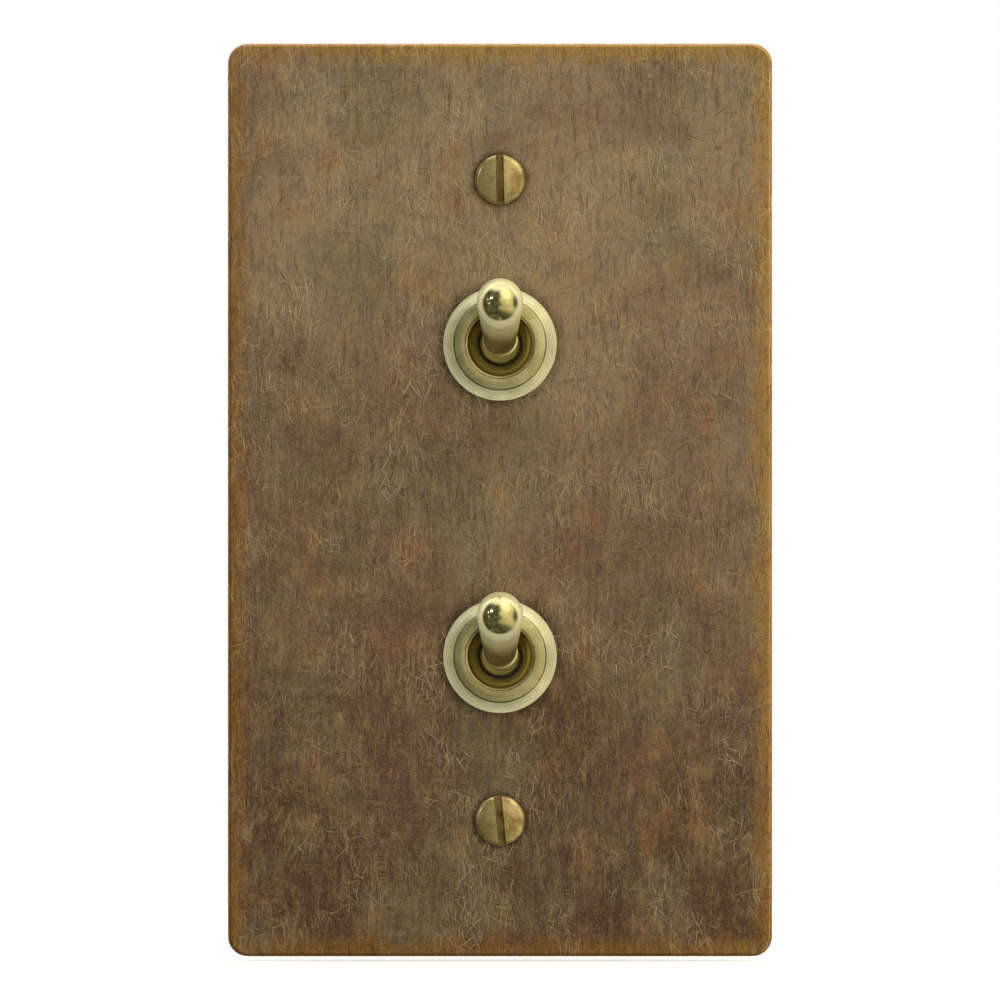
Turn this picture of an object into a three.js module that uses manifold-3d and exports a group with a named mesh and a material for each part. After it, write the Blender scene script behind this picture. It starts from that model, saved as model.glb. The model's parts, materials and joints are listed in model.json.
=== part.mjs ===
// Twin toggle wall switch: a brass single-gang wall plate that carries two bushing-mounted toggle switches.
// Millimetres. +X is right and +Z is up seen from the room, -Y points into the room, and y = 0 is the wall.
// Both levers are drawn up, which is the zero of every joint.
import * as THREE from "three";
import { mergeVertices } from "three/addons/utils/BufferGeometryUtils.js";
import Module from "manifold-3d";

const wasm = await Module();
wasm.setup();

// ---------------------------------------------------------------- driving dimensions

const DEG = Math.PI / 180;
const FINE = 24; // sides of the round pieces that show
const COARSE = 16; // sides of the small round pieces
const PAST = 0.5; // how far a cutting shape runs past the face it opens

const TOGGLE_SPACING = 40.6;
const SCREW_SPACING = 83.34; // the two tapped ears of a single-gang wall box

const PLATE = {
  width: 70.8,
  height: 118.7,
  thickness: 3,
  skin: 2, // what is left in front of the milled pockets
  corner: 2.6,
  easedEdge: 0.4,
  rim: 6.5, // what the milled back leaves all round
  rib: 5, // and across the middle
  pocketCorner: 3,
  toggleHole: 6.25,
  screwHole: 1.95,
  sinkRadius: 3.6,
};
PLATE.front = -PLATE.thickness;
PLATE.pocketFloor = PLATE.front + PLATE.skin;

const SCREW = {
  head: 3.3,
  rim: 0.35,
  dome: 0.9,
  shank: 1.75,
  length: 25,
  tipChamfer: 0.8,
  slot: 1.03,
  slotDepth: 1,
};
const SCREW_TURN = { upper: 1.2, lower: 5.5 }; // degrees each slot leans from upright

const BUSHING = {
  radius: 6,
  front: -5.6,
  chamfer: 0.2,
  bowlRadius: 4.5,
  bowlDepth: 2.25,
  throat: 2.87,
  socket: 3.45,
  rearBore: 4.2,
  rearBoreStart: 1.2,
  shoulder: 3.5,
  neck: 5.2,
  lip: 5.7,
  lipStart: 4.75,
  rear: 5.2,
};
const DRESS_NUT = { radius: 7.38, bore: 6.14, front: -5.4, back: -3.1, innerTilt: 36, outerTilt: 50 };
const LOCATING_WASHER = { radius: 8.2, bore: 6.2, front: -0.9, back: -0.1, tab: 3, tabReach: 10.4 };
const LOCK_WASHER = { radius: 7.7, bore: 6.2, front: 0, back: 0.7 };
const HEX_NUT = { acrossFlats: 14, bore: 6.15, front: 0.85, back: 3.25 };

const PIVOT_Y = -1.4; // depth of the lever's hinge
const LEVER = {
  tilt: 15, // each way from straight out
  tipCentre: 20.9,
  tipRadius: 3,
  baseAt: 2.3,
  baseRadius: 2.1,
  ball: 3.2,
  stem: 2,
  stemEnd: 8.5,
  springBore: 1.35,
  springBoreTop: 2.6,
  drillPoint: 0.3,
};
const PIN = { radius: 0.75, hole: 0.85, slot: 0.95, halfLength: 4.5, slotReach: 4.75 };
const SPRING = { from: 2.8, to: 4.95, coil: 0.95, wire: 0.16, turns: 4, sides: 5, stepsPerTurn: 8 };
const PLUNGER = { front: 5.2, radius: 1.15, shoulder: 8.9, tipCentre: 9.5, tipRadius: 1 };

const ROCKER = {
  tilt: 7,
  thickness: 0.8,
  width: 7,
  halfLength: 7.6,
  troughHalf: 2.9,
  contactAt: 6,
  gap: 0.05,
};
const RUNNING_GAP = 0.25; // between the plunger's tip and the rocker's trough
ROCKER.hingeBehindTip = PLUNGER.tipRadius + RUNNING_GAP + ROCKER.thickness + ROCKER.gap;
ROCKER.hingeY = PIVOT_Y + PLUNGER.tipCentre + ROCKER.hingeBehindTip;

const CONTACT = { head: 1.6, thick: 0.55, dome: 0.15, shank: 0.8, hole: 0.95, gap: 0.1 };
const CASE = {
  width: 18,
  height: 30,
  corner: 1.2,
  front: 4.75,
  back: 18,
  cavityWidth: 14.4,
  cavityHeight: 23.2,
  cavityFloor: 12.75,
  barrierAt: 5.75,
  barrier: 1,
  barrierBack: 21,
};
const COVER = {
  front: 3.6,
  back: 4.6,
  hole: 5.35,
  tab: 8,
  tabInner: 9.15,
  tabOuter: 9.95,
  crimp: 8.5,
  tabEnd: 12.3,
};
const CRIMP_DEPTH = 0.8;
const NOTCH_GAP = 0.2;

const STRIP = { width: 6, thick: 1, padFront: 11.8, padBack: 12.65, outsideFront: 18.1, outsideBack: 19.1 };
const OUTER_TERMINAL = { padFrom: 4.1, legFrom: 7.9, end: 14.9, screwAt: 11.9 };
const COMMON_TERMINAL = {
  padFrom: -1.6,
  legFrom: 2.6,
  end: -3.4,
  screwAt: -0.4,
  tipHalf: 0.25,
  rampHalf: 1.6,
};
const SLOT_GAP = 0.15;
const TERMINAL_SCREW = {
  head: 2.9,
  headFront: 19.2,
  headBack: 21,
  shank: 1.55,
  tip: 15,
  slot: 0.9,
  slotDepth: 0.8,
};
const TERMINAL_HOLE = { strip: 1.75, case: 1.85, bottom: 14.5 };

const EARTH = { x: 21, size: 6, corner: 1, front: -0.9, back: 4.1, bore: 1.65, boreBottom: -2.5 };
const EARTH_SCREW = {
  head: 2.6,
  headFront: 4.2,
  headBack: 5.7,
  shank: 1.45,
  tip: -2.4,
  slot: 0.9,
  slotDepth: 0.7,
};

// ---------------------------------------------------------------- materials

function finish(color, roughness, metalness) {
  return new THREE.MeshStandardMaterial({ color, roughness, metalness });
}

const AGED_BRASS = finish(0x765f46, 0.5, 1);
const SATIN_BRASS = finish(0xc2b684, 0.3, 1);
const RAW_BRASS = finish(0xb89a58, 0.4, 1);
const STEEL = finish(0xa9acb0, 0.35, 1);
const SPRING_STEEL = finish(0x8c8f94, 0.3, 1);
const BRONZE = finish(0xb07a4a, 0.35, 1);
const SILVER = finish(0xd8d8d4, 0.3, 1);
const PHENOLIC = finish(0x221c19, 0.5, 0);
const GREEN = finish(0x2f6b3c, 0.45, 0.4);

// ---------------------------------------------------------------- solids

// A closed geometry as a solid that can be joined and cut.
function solid(geometry) {
  geometry.deleteAttribute("normal");
  geometry.deleteAttribute("uv");
  const merged = mergeVertices(geometry, 1e-4);
  const vertProperties = merged.attributes.position.array;
  const triVerts = new Uint32Array(merged.index.array);
  return new wasm.Manifold(new wasm.Mesh({ numProp: 3, vertProperties, triVerts }));
}

// A solid turned about the Y axis from [radius, y] points, then moved sideways to x and z.
function turned(points, sides, x = 0, z = 0) {
  const profile = points.map(([radius, y]) => new THREE.Vector2(radius, y));
  return solid(new THREE.LatheGeometry(profile, sides).translate(x, 0, z));
}

// A straight round bar or hole cutter along Y.
function bar(radius, front, back, sides, x = 0, z = 0) {
  return turned([[0, front], [radius, front], [radius, back], [0, back]], sides, x, z);
}

// Profile points on a circle: 0 degrees points away from the axis and 90 degrees points to +Y.
function arc(centreRadius, centreY, radius, from, to, steps) {
  return Array.from({ length: steps + 1 }, (_, i) => {
    const angle = (from + ((to - from) * i) / steps) * DEG;
    return [centreRadius + radius * Math.cos(angle), centreY + radius * Math.sin(angle)];
  });
}

// Profile points on a quarter of an ellipse, level at the first point and steep at the last.
function quarterEllipse([r0, y0], [r1, y1], steps) {
  return Array.from({ length: steps + 1 }, (_, i) => {
    const angle = (90 * DEG * i) / steps;
    return [r0 + (r1 - r0) * Math.sin(angle), y1 + (y0 - y1) * Math.cos(angle)];
  });
}

// A rectangle with round corners, drawn in x and z about its centre.
function roundedRectangle(width, height, radius) {
  const x = width / 2 - radius;
  const z = height / 2 - radius;
  const shape = new THREE.Shape();
  [[x, -z], [x, z], [-x, z], [-x, -z]].forEach(([cx, cz], i) => {
    shape.absarc(cx, cz, radius, (i - 1) * 90 * DEG, i * 90 * DEG);
  });
  return shape;
}

// A shape drawn in x and z, as a solid from the depth front to the depth back, moved up by z.
function slab(shape, front, back, z = 0) {
  const options = { depth: back - front, bevelEnabled: false, curveSegments: 4 };
  const geometry = new THREE.ExtrudeGeometry(shape, options);
  return solid(geometry.rotateX(90 * DEG).translate(0, back, z));
}

// A shape drawn in y and z, as a solid of the given width across x.
function strip(shape, width) {
  const options = { depth: width, bevelEnabled: false, curveSegments: 8 };
  const geometry = new THREE.ExtrudeGeometry(shape, options);
  const turn = new THREE.Matrix4().makeBasis(
    new THREE.Vector3(0, 1, 0),
    new THREE.Vector3(0, 0, 1),
    new THREE.Vector3(1, 0, 0),
  );
  return solid(geometry.translate(0, 0, -width / 2).applyMatrix4(turn));
}

// A box between two limits on each axis.
function block([x0, x1], [y0, y1], [z0, z1]) {
  const geometry = new THREE.BoxGeometry(x1 - x0, y1 - y0, z1 - z0);
  return solid(geometry.translate((x0 + x1) / 2, (y0 + y1) / 2, (z0 + z1) / 2));
}

function mesh(name, body, material) {
  const { vertProperties, triVerts } = body.getMesh();
  const geometry = new THREE.BufferGeometry();
  geometry.setAttribute("position", new THREE.BufferAttribute(vertProperties, 3));
  geometry.setIndex(new THREE.BufferAttribute(triVerts, 1));
  geometry.computeVertexNormals();
  const made = new THREE.Mesh(geometry, material);
  made.name = name;
  return made;
}

// ---------------------------------------------------------------- wall plate

function facePlate() {
  const { width, height, thickness, corner, easedEdge, rim, rib } = PLATE;
  const eased = new THREE.ExtrudeGeometry(roundedRectangle(width, height, corner), {
    depth: thickness,
    bevelThickness: easedEdge,
    bevelSize: easedEdge,
    bevelOffset: -easedEdge,
    bevelSegments: 1,
    curveSegments: 4,
  });
  const behind = block([-width, width], [0, thickness], [-height, height]);
  let body = solid(eased.rotateX(90 * DEG).translate(0, easedEdge, 0)).subtract(behind);
  const pocketHeight = height / 2 - rim - rib / 2;
  const pocket = roundedRectangle(width - 2 * rim, pocketHeight, PLATE.pocketCorner);
  const through = [PLATE.front - PAST, PAST];
  for (const side of [1, -1]) {
    const sink = [
      [0, through[0]],
      [PLATE.sinkRadius + PAST, through[0]],
      [PLATE.screwHole, through[0] + PAST + PLATE.sinkRadius - PLATE.screwHole],
      [PLATE.screwHole, through[1]],
      [0, through[1]],
    ];
    body = body
      .subtract(slab(pocket, PLATE.pocketFloor, PAST, (side * (rib + pocketHeight)) / 2))
      .subtract(bar(PLATE.toggleHole, ...through, FINE, 0, (side * TOGGLE_SPACING) / 2))
      .subtract(turned(sink, FINE, 0, (side * SCREW_SPACING) / 2));
  }
  return body.subtract(bar(EARTH.bore, EARTH.boreBottom, PAST, COARSE, EARTH.x, -TOGGLE_SPACING / 2));
}

// The slotted oval-head screw that holds the plate, with its slot upright.
function plateScrew() {
  const { head, rim, dome, shank, length, tipChamfer, slot, slotDepth } = SCREW;
  const domeRadius = (head * head + dome * dome) / (2 * dome);
  const rimFront = PLATE.front - rim;
  const top = rimFront - dome;
  const openAngle = Math.asin(head / domeRadius) / DEG;
  const body = turned(
    [
      ...arc(0, top + domeRadius, domeRadius, -90, -90 + openAngle, 4),
      [head, PLATE.front],
      [shank, PLATE.front + head - shank],
      [shank, PLATE.front + length - tipChamfer],
      [shank - tipChamfer / 2, PLATE.front + length],
      [0, PLATE.front + length],
    ],
    FINE,
  );
  const reach = head + PAST;
  return body.subtract(block([-slot / 2, slot / 2], [top - PAST, top + slotDepth], [-reach, reach]));
}

// A screw whose flat head faces +Y, as all those on the back do.
function backScrew({ head, headFront, headBack, shank, tip, slot, slotDepth }) {
  const profile = [
    [0, tip],
    [shank, tip],
    [shank, headFront],
    [head, headFront],
    [head, headBack],
    [0, headBack],
  ];
  const reach = head + PAST;
  const cut = block([-reach, reach], [headBack - slotDepth, headBack + PAST], [-slot / 2, slot / 2]);
  return turned(profile, COARSE).subtract(cut);
}

// ---------------------------------------------------------------- one toggle switch, about its own axis

function bushing() {
  const b = BUSHING;
  const throatY = PIVOT_Y - Math.sqrt(b.socket ** 2 - b.throat ** 2);
  const throatAngle = Math.atan2(throatY - PIVOT_Y, b.throat) / DEG;
  const body = turned(
    [
      [b.radius - b.chamfer, b.front],
      [b.radius, b.front + b.chamfer],
      [b.radius, b.shoulder],
      [b.neck, b.shoulder],
      [b.neck, b.lipStart],
      [b.lip, b.lipStart],
      [b.lip, b.rear],
      [b.rearBore, b.rear],
      [b.rearBore, b.rearBoreStart],
      [b.socket, b.rearBoreStart],
      ...arc(0, PIVOT_Y, b.socket, 0, throatAngle, 3),
      ...quarterEllipse([b.throat, b.front + b.bowlDepth], [b.bowlRadius, b.front], 4),
      [b.radius - b.chamfer, b.front],
    ],
    FINE,
  );
  const { slot, slotReach } = PIN;
  return body.subtract(block([-slotReach, slotReach], [PIVOT_Y - slot, b.rear + PAST], [-slot, slot]));
}

// The dress nut's crown is an arc that leans by innerTilt at the bore and by outerTilt at the rim.
function dressNut() {
  const { radius, bore, front, back, innerTilt, outerTilt } = DRESS_NUT;
  const crownRadius = (radius - bore) / (Math.sin(outerTilt * DEG) - Math.sin(innerTilt * DEG));
  const centreRadius = bore - crownRadius * Math.sin(innerTilt * DEG);
  const centreY = front + crownRadius * Math.cos(innerTilt * DEG);
  const crown = arc(centreRadius, centreY, crownRadius, innerTilt - 90, outerTilt - 90, 3);
  return turned([...crown, [radius, back], [bore, back], crown[0]], FINE);
}

function washer({ radius, bore, front, back }) {
  const section = [
    [bore, front],
    [radius, front],
    [radius, back],
    [bore, back],
    [bore, front],
  ];
  return turned(section, FINE);
}

function locatingWasher() {
  const { bore, front, back, tab, tabReach, radius } = LOCATING_WASHER;
  const inner = (bore + radius) / 2;
  return washer(LOCATING_WASHER).add(block([-tab / 2, tab / 2], [front, back], [inner, tabReach]));
}

function hexNut() {
  const { acrossFlats, bore, front, back } = HEX_NUT;
  const cornerRadius = acrossFlats / 2 / Math.cos(30 * DEG);
  const hexagon = new THREE.Shape(
    Array.from({ length: 6 }, (_, i) => {
      const angle = i * 60 * DEG;
      return new THREE.Vector2(cornerRadius * Math.cos(angle), cornerRadius * Math.sin(angle));
    }),
  );
  return slab(hexagon, front, back).subtract(bar(bore, front - PAST, back + PAST, FINE));
}

// The bat lever: tip ball, tapered bat, pivot ball, and a hollow stem for the spring and plunger.
// It is drawn straight out along -Y about its hinge at the origin.
function lever() {
  const l = LEVER;
  const ballFrom = -Math.asin(l.baseAt / l.ball) / DEG;
  const ballTo = Math.acos(l.stem / l.ball) / DEG;
  const body = turned(
    [
      ...arc(0, -l.tipCentre, l.tipRadius, -90, 0, 6),
      [l.baseRadius, -l.baseAt],
      ...arc(0, 0, l.ball, ballFrom, ballTo, 6),
      [l.stem, l.stemEnd],
      [l.springBore, l.stemEnd],
      [l.springBore, l.springBoreTop],
      [0, l.springBoreTop - l.drillPoint],
    ],
    FINE,
  );
  return body.subtract(crossBar(PIN.hole, l.ball + PAST));
}

// A round bar along X through the origin.
function crossBar(radius, halfLength) {
  const geometry = new THREE.CylinderGeometry(radius, radius, 2 * halfLength, COARSE);
  return solid(geometry.rotateZ(90 * DEG));
}

class CoilCurve extends THREE.Curve {
  getPoint(t, target = new THREE.Vector3()) {
    const angle = t * SPRING.turns * 2 * Math.PI;
    const y = SPRING.from + (SPRING.to - SPRING.from) * t;
    return target.set(SPRING.coil * Math.cos(angle), y, SPRING.coil * Math.sin(angle));
  }
}

function coilSpring() {
  const section = new THREE.Shape(
    Array.from({ length: SPRING.sides }, (_, i) => {
      const angle = (i * 2 * Math.PI) / SPRING.sides;
      return new THREE.Vector2(SPRING.wire * Math.cos(angle), SPRING.wire * Math.sin(angle));
    }),
  );
  const steps = SPRING.turns * SPRING.stepsPerTurn;
  return solid(new THREE.ExtrudeGeometry(section, { steps, extrudePath: new CoilCurve() }));
}

function plunger() {
  const { front, radius, shoulder, tipCentre, tipRadius } = PLUNGER;
  const tip = arc(0, tipCentre, tipRadius, 0, 90, 4);
  return turned([[0, front], [radius, front], [radius, shoulder], ...tip], COARSE);
}

// The trough that the plunger runs along follows the path which its tip draws on the rocking strip.
function troughRadius() {
  const ratio = ROCKER.tilt / LEVER.tilt;
  const reach = PLUNGER.tipCentre;
  const behind = ROCKER.hingeBehindTip;
  const path = (reach - behind * ratio) ** 2 / (reach * (1 + 2 * ratio) - behind * ratio ** 2);
  return path + PLUNGER.tipRadius + RUNNING_GAP;
}

// Depth of the rocker's wings in front of its hinge, on the side that faces the plunger.
function wingFront() {
  const radius = troughRadius();
  const rise = radius - Math.sqrt(radius ** 2 - ROCKER.troughHalf ** 2);
  return -ROCKER.gap - ROCKER.thickness - rise;
}

// The contact strip that rocks on the common terminal, drawn level about its hinge at the origin.
function rocker() {
  const { thickness, width, halfLength, troughHalf, contactAt, gap } = ROCKER;
  const inner = troughRadius();
  const outer = inner + thickness;
  const centre = -gap - outer;
  const front = wingFront();
  const back = front + thickness;
  const innerAngle = Math.asin(troughHalf / inner);
  const outerAngle = Math.acos((back - centre) / outer);
  const profile = new THREE.Shape();
  profile.moveTo(front, -halfLength);
  profile.absarc(centre, 0, inner, -innerAngle, innerAngle);
  profile.lineTo(front, halfLength);
  profile.lineTo(back, halfLength);
  profile.absarc(centre, 0, outer, outerAngle, -outerAngle, true);
  profile.lineTo(back, -halfLength);
  let body = strip(profile, width);
  for (const side of [1, -1]) {
    body = body.subtract(bar(CONTACT.hole, front - PAST, back + PAST, COARSE, 0, side * contactAt));
  }
  return body;
}

// A silver contact rivet. Its domed head ends at the depth face, and its shank leads away from there.
function contact(face, away, shankLength, z) {
  const { head, thick, dome, shank } = CONTACT;
  const at = (depth) => face + away * depth;
  const points = [
    [0, at(0)],
    [head, at(dome)],
    [head, at(dome + thick)],
    [shank, at(dome + thick)],
    [shank, at(dome + thick + shankLength)],
    [0, at(dome + thick + shankLength)],
  ];
  return turned(away > 0 ? points : points.reverse(), COARSE, 0, z);
}

const MOVING_CONTACT_FACE = wingFront() + ROCKER.thickness + CONTACT.gap + CONTACT.thick + CONTACT.dome;

// Where the closed contact's face stands when the rocker is at its limit.
function closedContact() {
  const tilt = ROCKER.tilt * DEG;
  return {
    y: ROCKER.hingeY + MOVING_CONTACT_FACE * Math.cos(tilt) + ROCKER.contactAt * Math.sin(tilt),
    z: ROCKER.contactAt * Math.cos(tilt) - MOVING_CONTACT_FACE * Math.sin(tilt),
  };
}

function switchCase() {
  const c = CASE;
  let body = slab(roundedRectangle(c.width, c.height, c.corner), c.front, c.back)
    .subtract(
      block(
        [-c.cavityWidth / 2, c.cavityWidth / 2],
        [c.front - PAST, c.cavityFloor],
        [-c.cavityHeight / 2, c.cavityHeight / 2],
      ),
    )
    .subtract(terminalSlot(COMMON_TERMINAL.legFrom, 1))
    .subtract(screwHole(COMMON_TERMINAL.screwAt));
  for (const side of [1, -1]) {
    const barrierZ = side * c.barrierAt;
    const edge = [side * (COVER.crimp - NOTCH_GAP), side * (c.width / 2 + PAST)].sort((a, b) => a - b);
    body = body
      .subtract(terminalSlot(OUTER_TERMINAL.legFrom, side))
      .subtract(screwHole(side * OUTER_TERMINAL.screwAt))
      .subtract(
        block(
          edge,
          [COVER.tabEnd - CRIMP_DEPTH - NOTCH_GAP, COVER.tabEnd + NOTCH_GAP],
          [-COVER.tab / 2 - NOTCH_GAP, COVER.tab / 2 + NOTCH_GAP],
        ),
      )
      .add(
        block(
          [-c.width / 2, c.width / 2],
          [c.back - PAST, c.barrierBack],
          [barrierZ - c.barrier / 2, barrierZ + c.barrier / 2],
        ),
      );
  }
  return body;
}

// The slot in the case floor that a terminal's leg passes through.
function terminalSlot(legFrom, side) {
  const middle = side * (legFrom + STRIP.thick / 2);
  const halfHeight = STRIP.thick / 2 + SLOT_GAP;
  const half = STRIP.width / 2 + SLOT_GAP;
  const high = [middle - halfHeight, middle + halfHeight];
  return block([-half, half], [CASE.cavityFloor - PAST, CASE.back + PAST], high);
}

function screwHole(z) {
  return bar(TERMINAL_HOLE.case, TERMINAL_HOLE.bottom, CASE.back + PAST, COARSE, 0, z);
}

// The pressed steel cover that the bushing is staked into, with two tabs that clip round the case.
function cover() {
  const { front, back, hole, tab, tabInner, tabOuter, crimp, tabEnd } = COVER;
  let body = slab(roundedRectangle(CASE.width, CASE.height, CASE.corner), front, back);
  for (const side of [1, -1]) {
    const across = (from, to) => [side * from, side * to].sort((a, b) => a - b);
    const high = [-tab / 2, tab / 2];
    body = body
      .add(block(across(tabInner - 1, tabOuter), [front, back], high))
      .add(block(across(tabInner, tabOuter), [front, tabEnd], high))
      .add(block(across(crimp, tabOuter), [tabEnd - CRIMP_DEPTH, tabEnd], high));
  }
  return body.subtract(bar(hole, front - PAST, back + PAST, FINE));
}

// A terminal strip from a side outline in [y, z] points, pierced for its screw.
function terminal(outline, screwZ) {
  const shape = new THREE.Shape(outline.map(([y, z]) => new THREE.Vector2(y, z)));
  const depths = [STRIP.outsideFront - PAST, STRIP.outsideBack + PAST];
  return strip(shape, STRIP.width).subtract(bar(TERMINAL_HOLE.strip, ...depths, COARSE, 0, screwZ));
}

function outerTerminal(side) {
  const { padFront, padBack, outsideFront, outsideBack, thick } = STRIP;
  const { padFrom, legFrom, end, screwAt } = OUTER_TERMINAL;
  const outline = [
    [padFront, padFrom],
    [padBack, padFrom],
    [padBack, legFrom],
    [outsideBack, legFrom],
    [outsideBack, end],
    [outsideFront, end],
    [outsideFront, legFrom + thick],
    [padFront, legFrom + thick],
  ].map(([y, z]) => [y, side * z]);
  const rivetHole = bar(CONTACT.hole, padFront - PAST, padBack + PAST, COARSE, 0, side * closedContact().z);
  return terminal(outline, side * screwAt).subtract(rivetHole);
}

// The common terminal, whose inner end rises to the edge that the rocker rocks on.
function commonTerminal() {
  const { padFront, padBack, outsideFront, outsideBack, thick } = STRIP;
  const { padFrom, legFrom, end, screwAt, tipHalf, rampHalf } = COMMON_TERMINAL;
  const edge = ROCKER.hingeY + ROCKER.gap;
  return terminal(
    [
      [padBack, padFrom],
      [padFront, padFrom],
      [edge, -tipHalf],
      [edge, tipHalf],
      [padFront, rampHalf],
      [padFront, legFrom + thick],
      [outsideBack, legFrom + thick],
      [outsideBack, end],
      [outsideFront, end],
      [outsideFront, legFrom],
      [padBack, legFrom],
    ],
    screwAt,
  );
}

// ---------------------------------------------------------------- assembly

// A group of meshes, each named for its place, turned about X at the depth y.
function turnedGroup(degrees, y, pieces, where) {
  const group = new THREE.Group();
  group.position.y = y;
  group.rotation.x = degrees * DEG;
  for (const [name, body, material] of pieces) {
    group.add(mesh(`${name}_${where}`, body, material));
  }
  return group;
}

function toggleSwitch(where, z) {
  const closed = closedContact();
  const stationaryFace = closed.y + CONTACT.gap;
  const stationaryShank = STRIP.padBack - stationaryFace - CONTACT.dome - CONTACT.thick;
  const movingShank = ROCKER.thickness + 2 * CONTACT.gap;
  const fixed = [
    ["dress_nut", dressNut(), SATIN_BRASS],
    ["bushing", bushing(), SATIN_BRASS],
    ["locating_washer", locatingWasher(), STEEL],
    ["lock_washer", washer(LOCK_WASHER), SPRING_STEEL],
    ["hex_nut", hexNut(), RAW_BRASS],
    ["switch_cover", cover(), STEEL],
    ["switch_case", switchCase(), PHENOLIC],
    ["common_terminal", commonTerminal(), RAW_BRASS],
    ["top_terminal", outerTerminal(1), RAW_BRASS],
    ["bottom_terminal", outerTerminal(-1), RAW_BRASS],
    ["top_fixed_contact", contact(stationaryFace, 1, stationaryShank, closed.z), SILVER],
    ["bottom_fixed_contact", contact(stationaryFace, 1, stationaryShank, -closed.z), SILVER],
  ];
  const swinging = [
    ["lever", lever(), SATIN_BRASS],
    ["pivot_pin", crossBar(PIN.radius, PIN.halfLength), STEEL],
    ["lever_spring", coilSpring(), SPRING_STEEL],
    ["plunger", plunger(), RAW_BRASS],
  ];
  const rocking = [
    ["rocker", rocker(), BRONZE],
    ["top_moving_contact", contact(MOVING_CONTACT_FACE, -1, movingShank, ROCKER.contactAt), SILVER],
    ["bottom_moving_contact", contact(MOVING_CONTACT_FACE, -1, movingShank, -ROCKER.contactAt), SILVER],
  ];
  const unit = new THREE.Group();
  unit.position.z = z;
  unit.add(
    turnedGroup(0, 0, fixed, where),
    turnedGroup(-LEVER.tilt, PIVOT_Y, swinging, where),
    turnedGroup(ROCKER.tilt, ROCKER.hingeY, rocking, where),
  );
  const screwHeights = {
    top: OUTER_TERMINAL.screwAt,
    common: COMMON_TERMINAL.screwAt,
    bottom: -OUTER_TERMINAL.screwAt,
  };
  for (const [terminalName, height] of Object.entries(screwHeights)) {
    const screw = mesh(`${terminalName}_terminal_screw_${where}`, backScrew(TERMINAL_SCREW), RAW_BRASS);
    screw.position.z = height;
    unit.add(screw);
  }
  return unit;
}

function earthTerminal() {
  const { size, corner, front, back, bore } = EARTH;
  const tapped = bar(bore, front - PAST, back + PAST, COARSE);
  const post = slab(roundedRectangle(size, size, corner), front, back).subtract(tapped);
  const group = new THREE.Group();
  group.position.set(EARTH.x, 0, -TOGGLE_SPACING / 2);
  group.add(mesh("earth_post", post, RAW_BRASS), mesh("earth_screw", backScrew(EARTH_SCREW), GREEN));
  return group;
}

const wallSwitch = new THREE.Group();
wallSwitch.add(mesh("face_plate", facePlate(), AGED_BRASS), earthTerminal());
for (const [where, side] of [["upper", 1], ["lower", -1]]) {
  const screw = mesh(`plate_screw_${where}`, plateScrew(), AGED_BRASS);
  screw.position.z = (side * SCREW_SPACING) / 2;
  screw.rotation.y = -SCREW_TURN[where] * DEG;
  wallSwitch.add(screw, toggleSwitch(where, (side * TOGGLE_SPACING) / 2));
}

export default wallSwitch;
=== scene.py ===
import json
from functools import partial, reduce
from math import acos, asin, atan, atan2, cos, degrees, pi, radians, sin, sqrt, tan

import bmesh
import bpy
from mathutils import Matrix, Vector

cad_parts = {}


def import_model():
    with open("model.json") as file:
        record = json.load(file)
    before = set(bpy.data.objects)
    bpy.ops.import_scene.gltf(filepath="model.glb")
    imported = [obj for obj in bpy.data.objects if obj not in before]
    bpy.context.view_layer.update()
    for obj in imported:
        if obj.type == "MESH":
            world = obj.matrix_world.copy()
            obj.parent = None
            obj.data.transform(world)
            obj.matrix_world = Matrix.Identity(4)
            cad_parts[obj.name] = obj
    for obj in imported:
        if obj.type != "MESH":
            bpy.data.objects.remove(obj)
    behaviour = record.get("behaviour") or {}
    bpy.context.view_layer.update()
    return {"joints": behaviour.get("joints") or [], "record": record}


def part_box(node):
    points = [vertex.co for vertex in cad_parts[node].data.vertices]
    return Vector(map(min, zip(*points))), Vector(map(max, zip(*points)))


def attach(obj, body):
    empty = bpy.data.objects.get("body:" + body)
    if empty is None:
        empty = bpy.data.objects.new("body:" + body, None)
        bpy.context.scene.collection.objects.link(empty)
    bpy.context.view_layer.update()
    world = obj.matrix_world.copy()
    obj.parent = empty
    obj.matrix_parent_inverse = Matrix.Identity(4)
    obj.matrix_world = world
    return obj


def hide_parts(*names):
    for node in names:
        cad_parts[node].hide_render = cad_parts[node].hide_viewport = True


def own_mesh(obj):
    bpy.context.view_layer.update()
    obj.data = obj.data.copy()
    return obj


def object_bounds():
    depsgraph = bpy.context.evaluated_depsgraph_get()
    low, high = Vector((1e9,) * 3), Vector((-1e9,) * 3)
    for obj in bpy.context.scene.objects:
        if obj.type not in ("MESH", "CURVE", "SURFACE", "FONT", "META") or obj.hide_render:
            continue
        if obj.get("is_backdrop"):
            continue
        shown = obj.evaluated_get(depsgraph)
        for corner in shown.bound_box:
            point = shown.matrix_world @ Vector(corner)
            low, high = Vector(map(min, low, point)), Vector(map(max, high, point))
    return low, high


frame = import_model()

SCENE = bpy.context.scene
MM = 0.001
record = frame["record"]
BODY_OF = {node: body for body, nodes in record["behaviour"]["bodies"].items() for node in nodes}
JOINTS = {joint["name"]: joint for joint in frame["joints"]}


def span(node):
    """Lowest and highest corner of a CAD node in millimetres."""
    low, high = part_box(node)
    return low / MM, high / MM


def middle(node):
    """Middle of a CAD node's box in millimetres."""
    low, high = span(node)
    return (low + high) / 2


# ------------------------------------------------------------------ sizes, in millimetres

PLACES = ("upper", "lower")  # the two toggles, and the two plate screws

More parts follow.
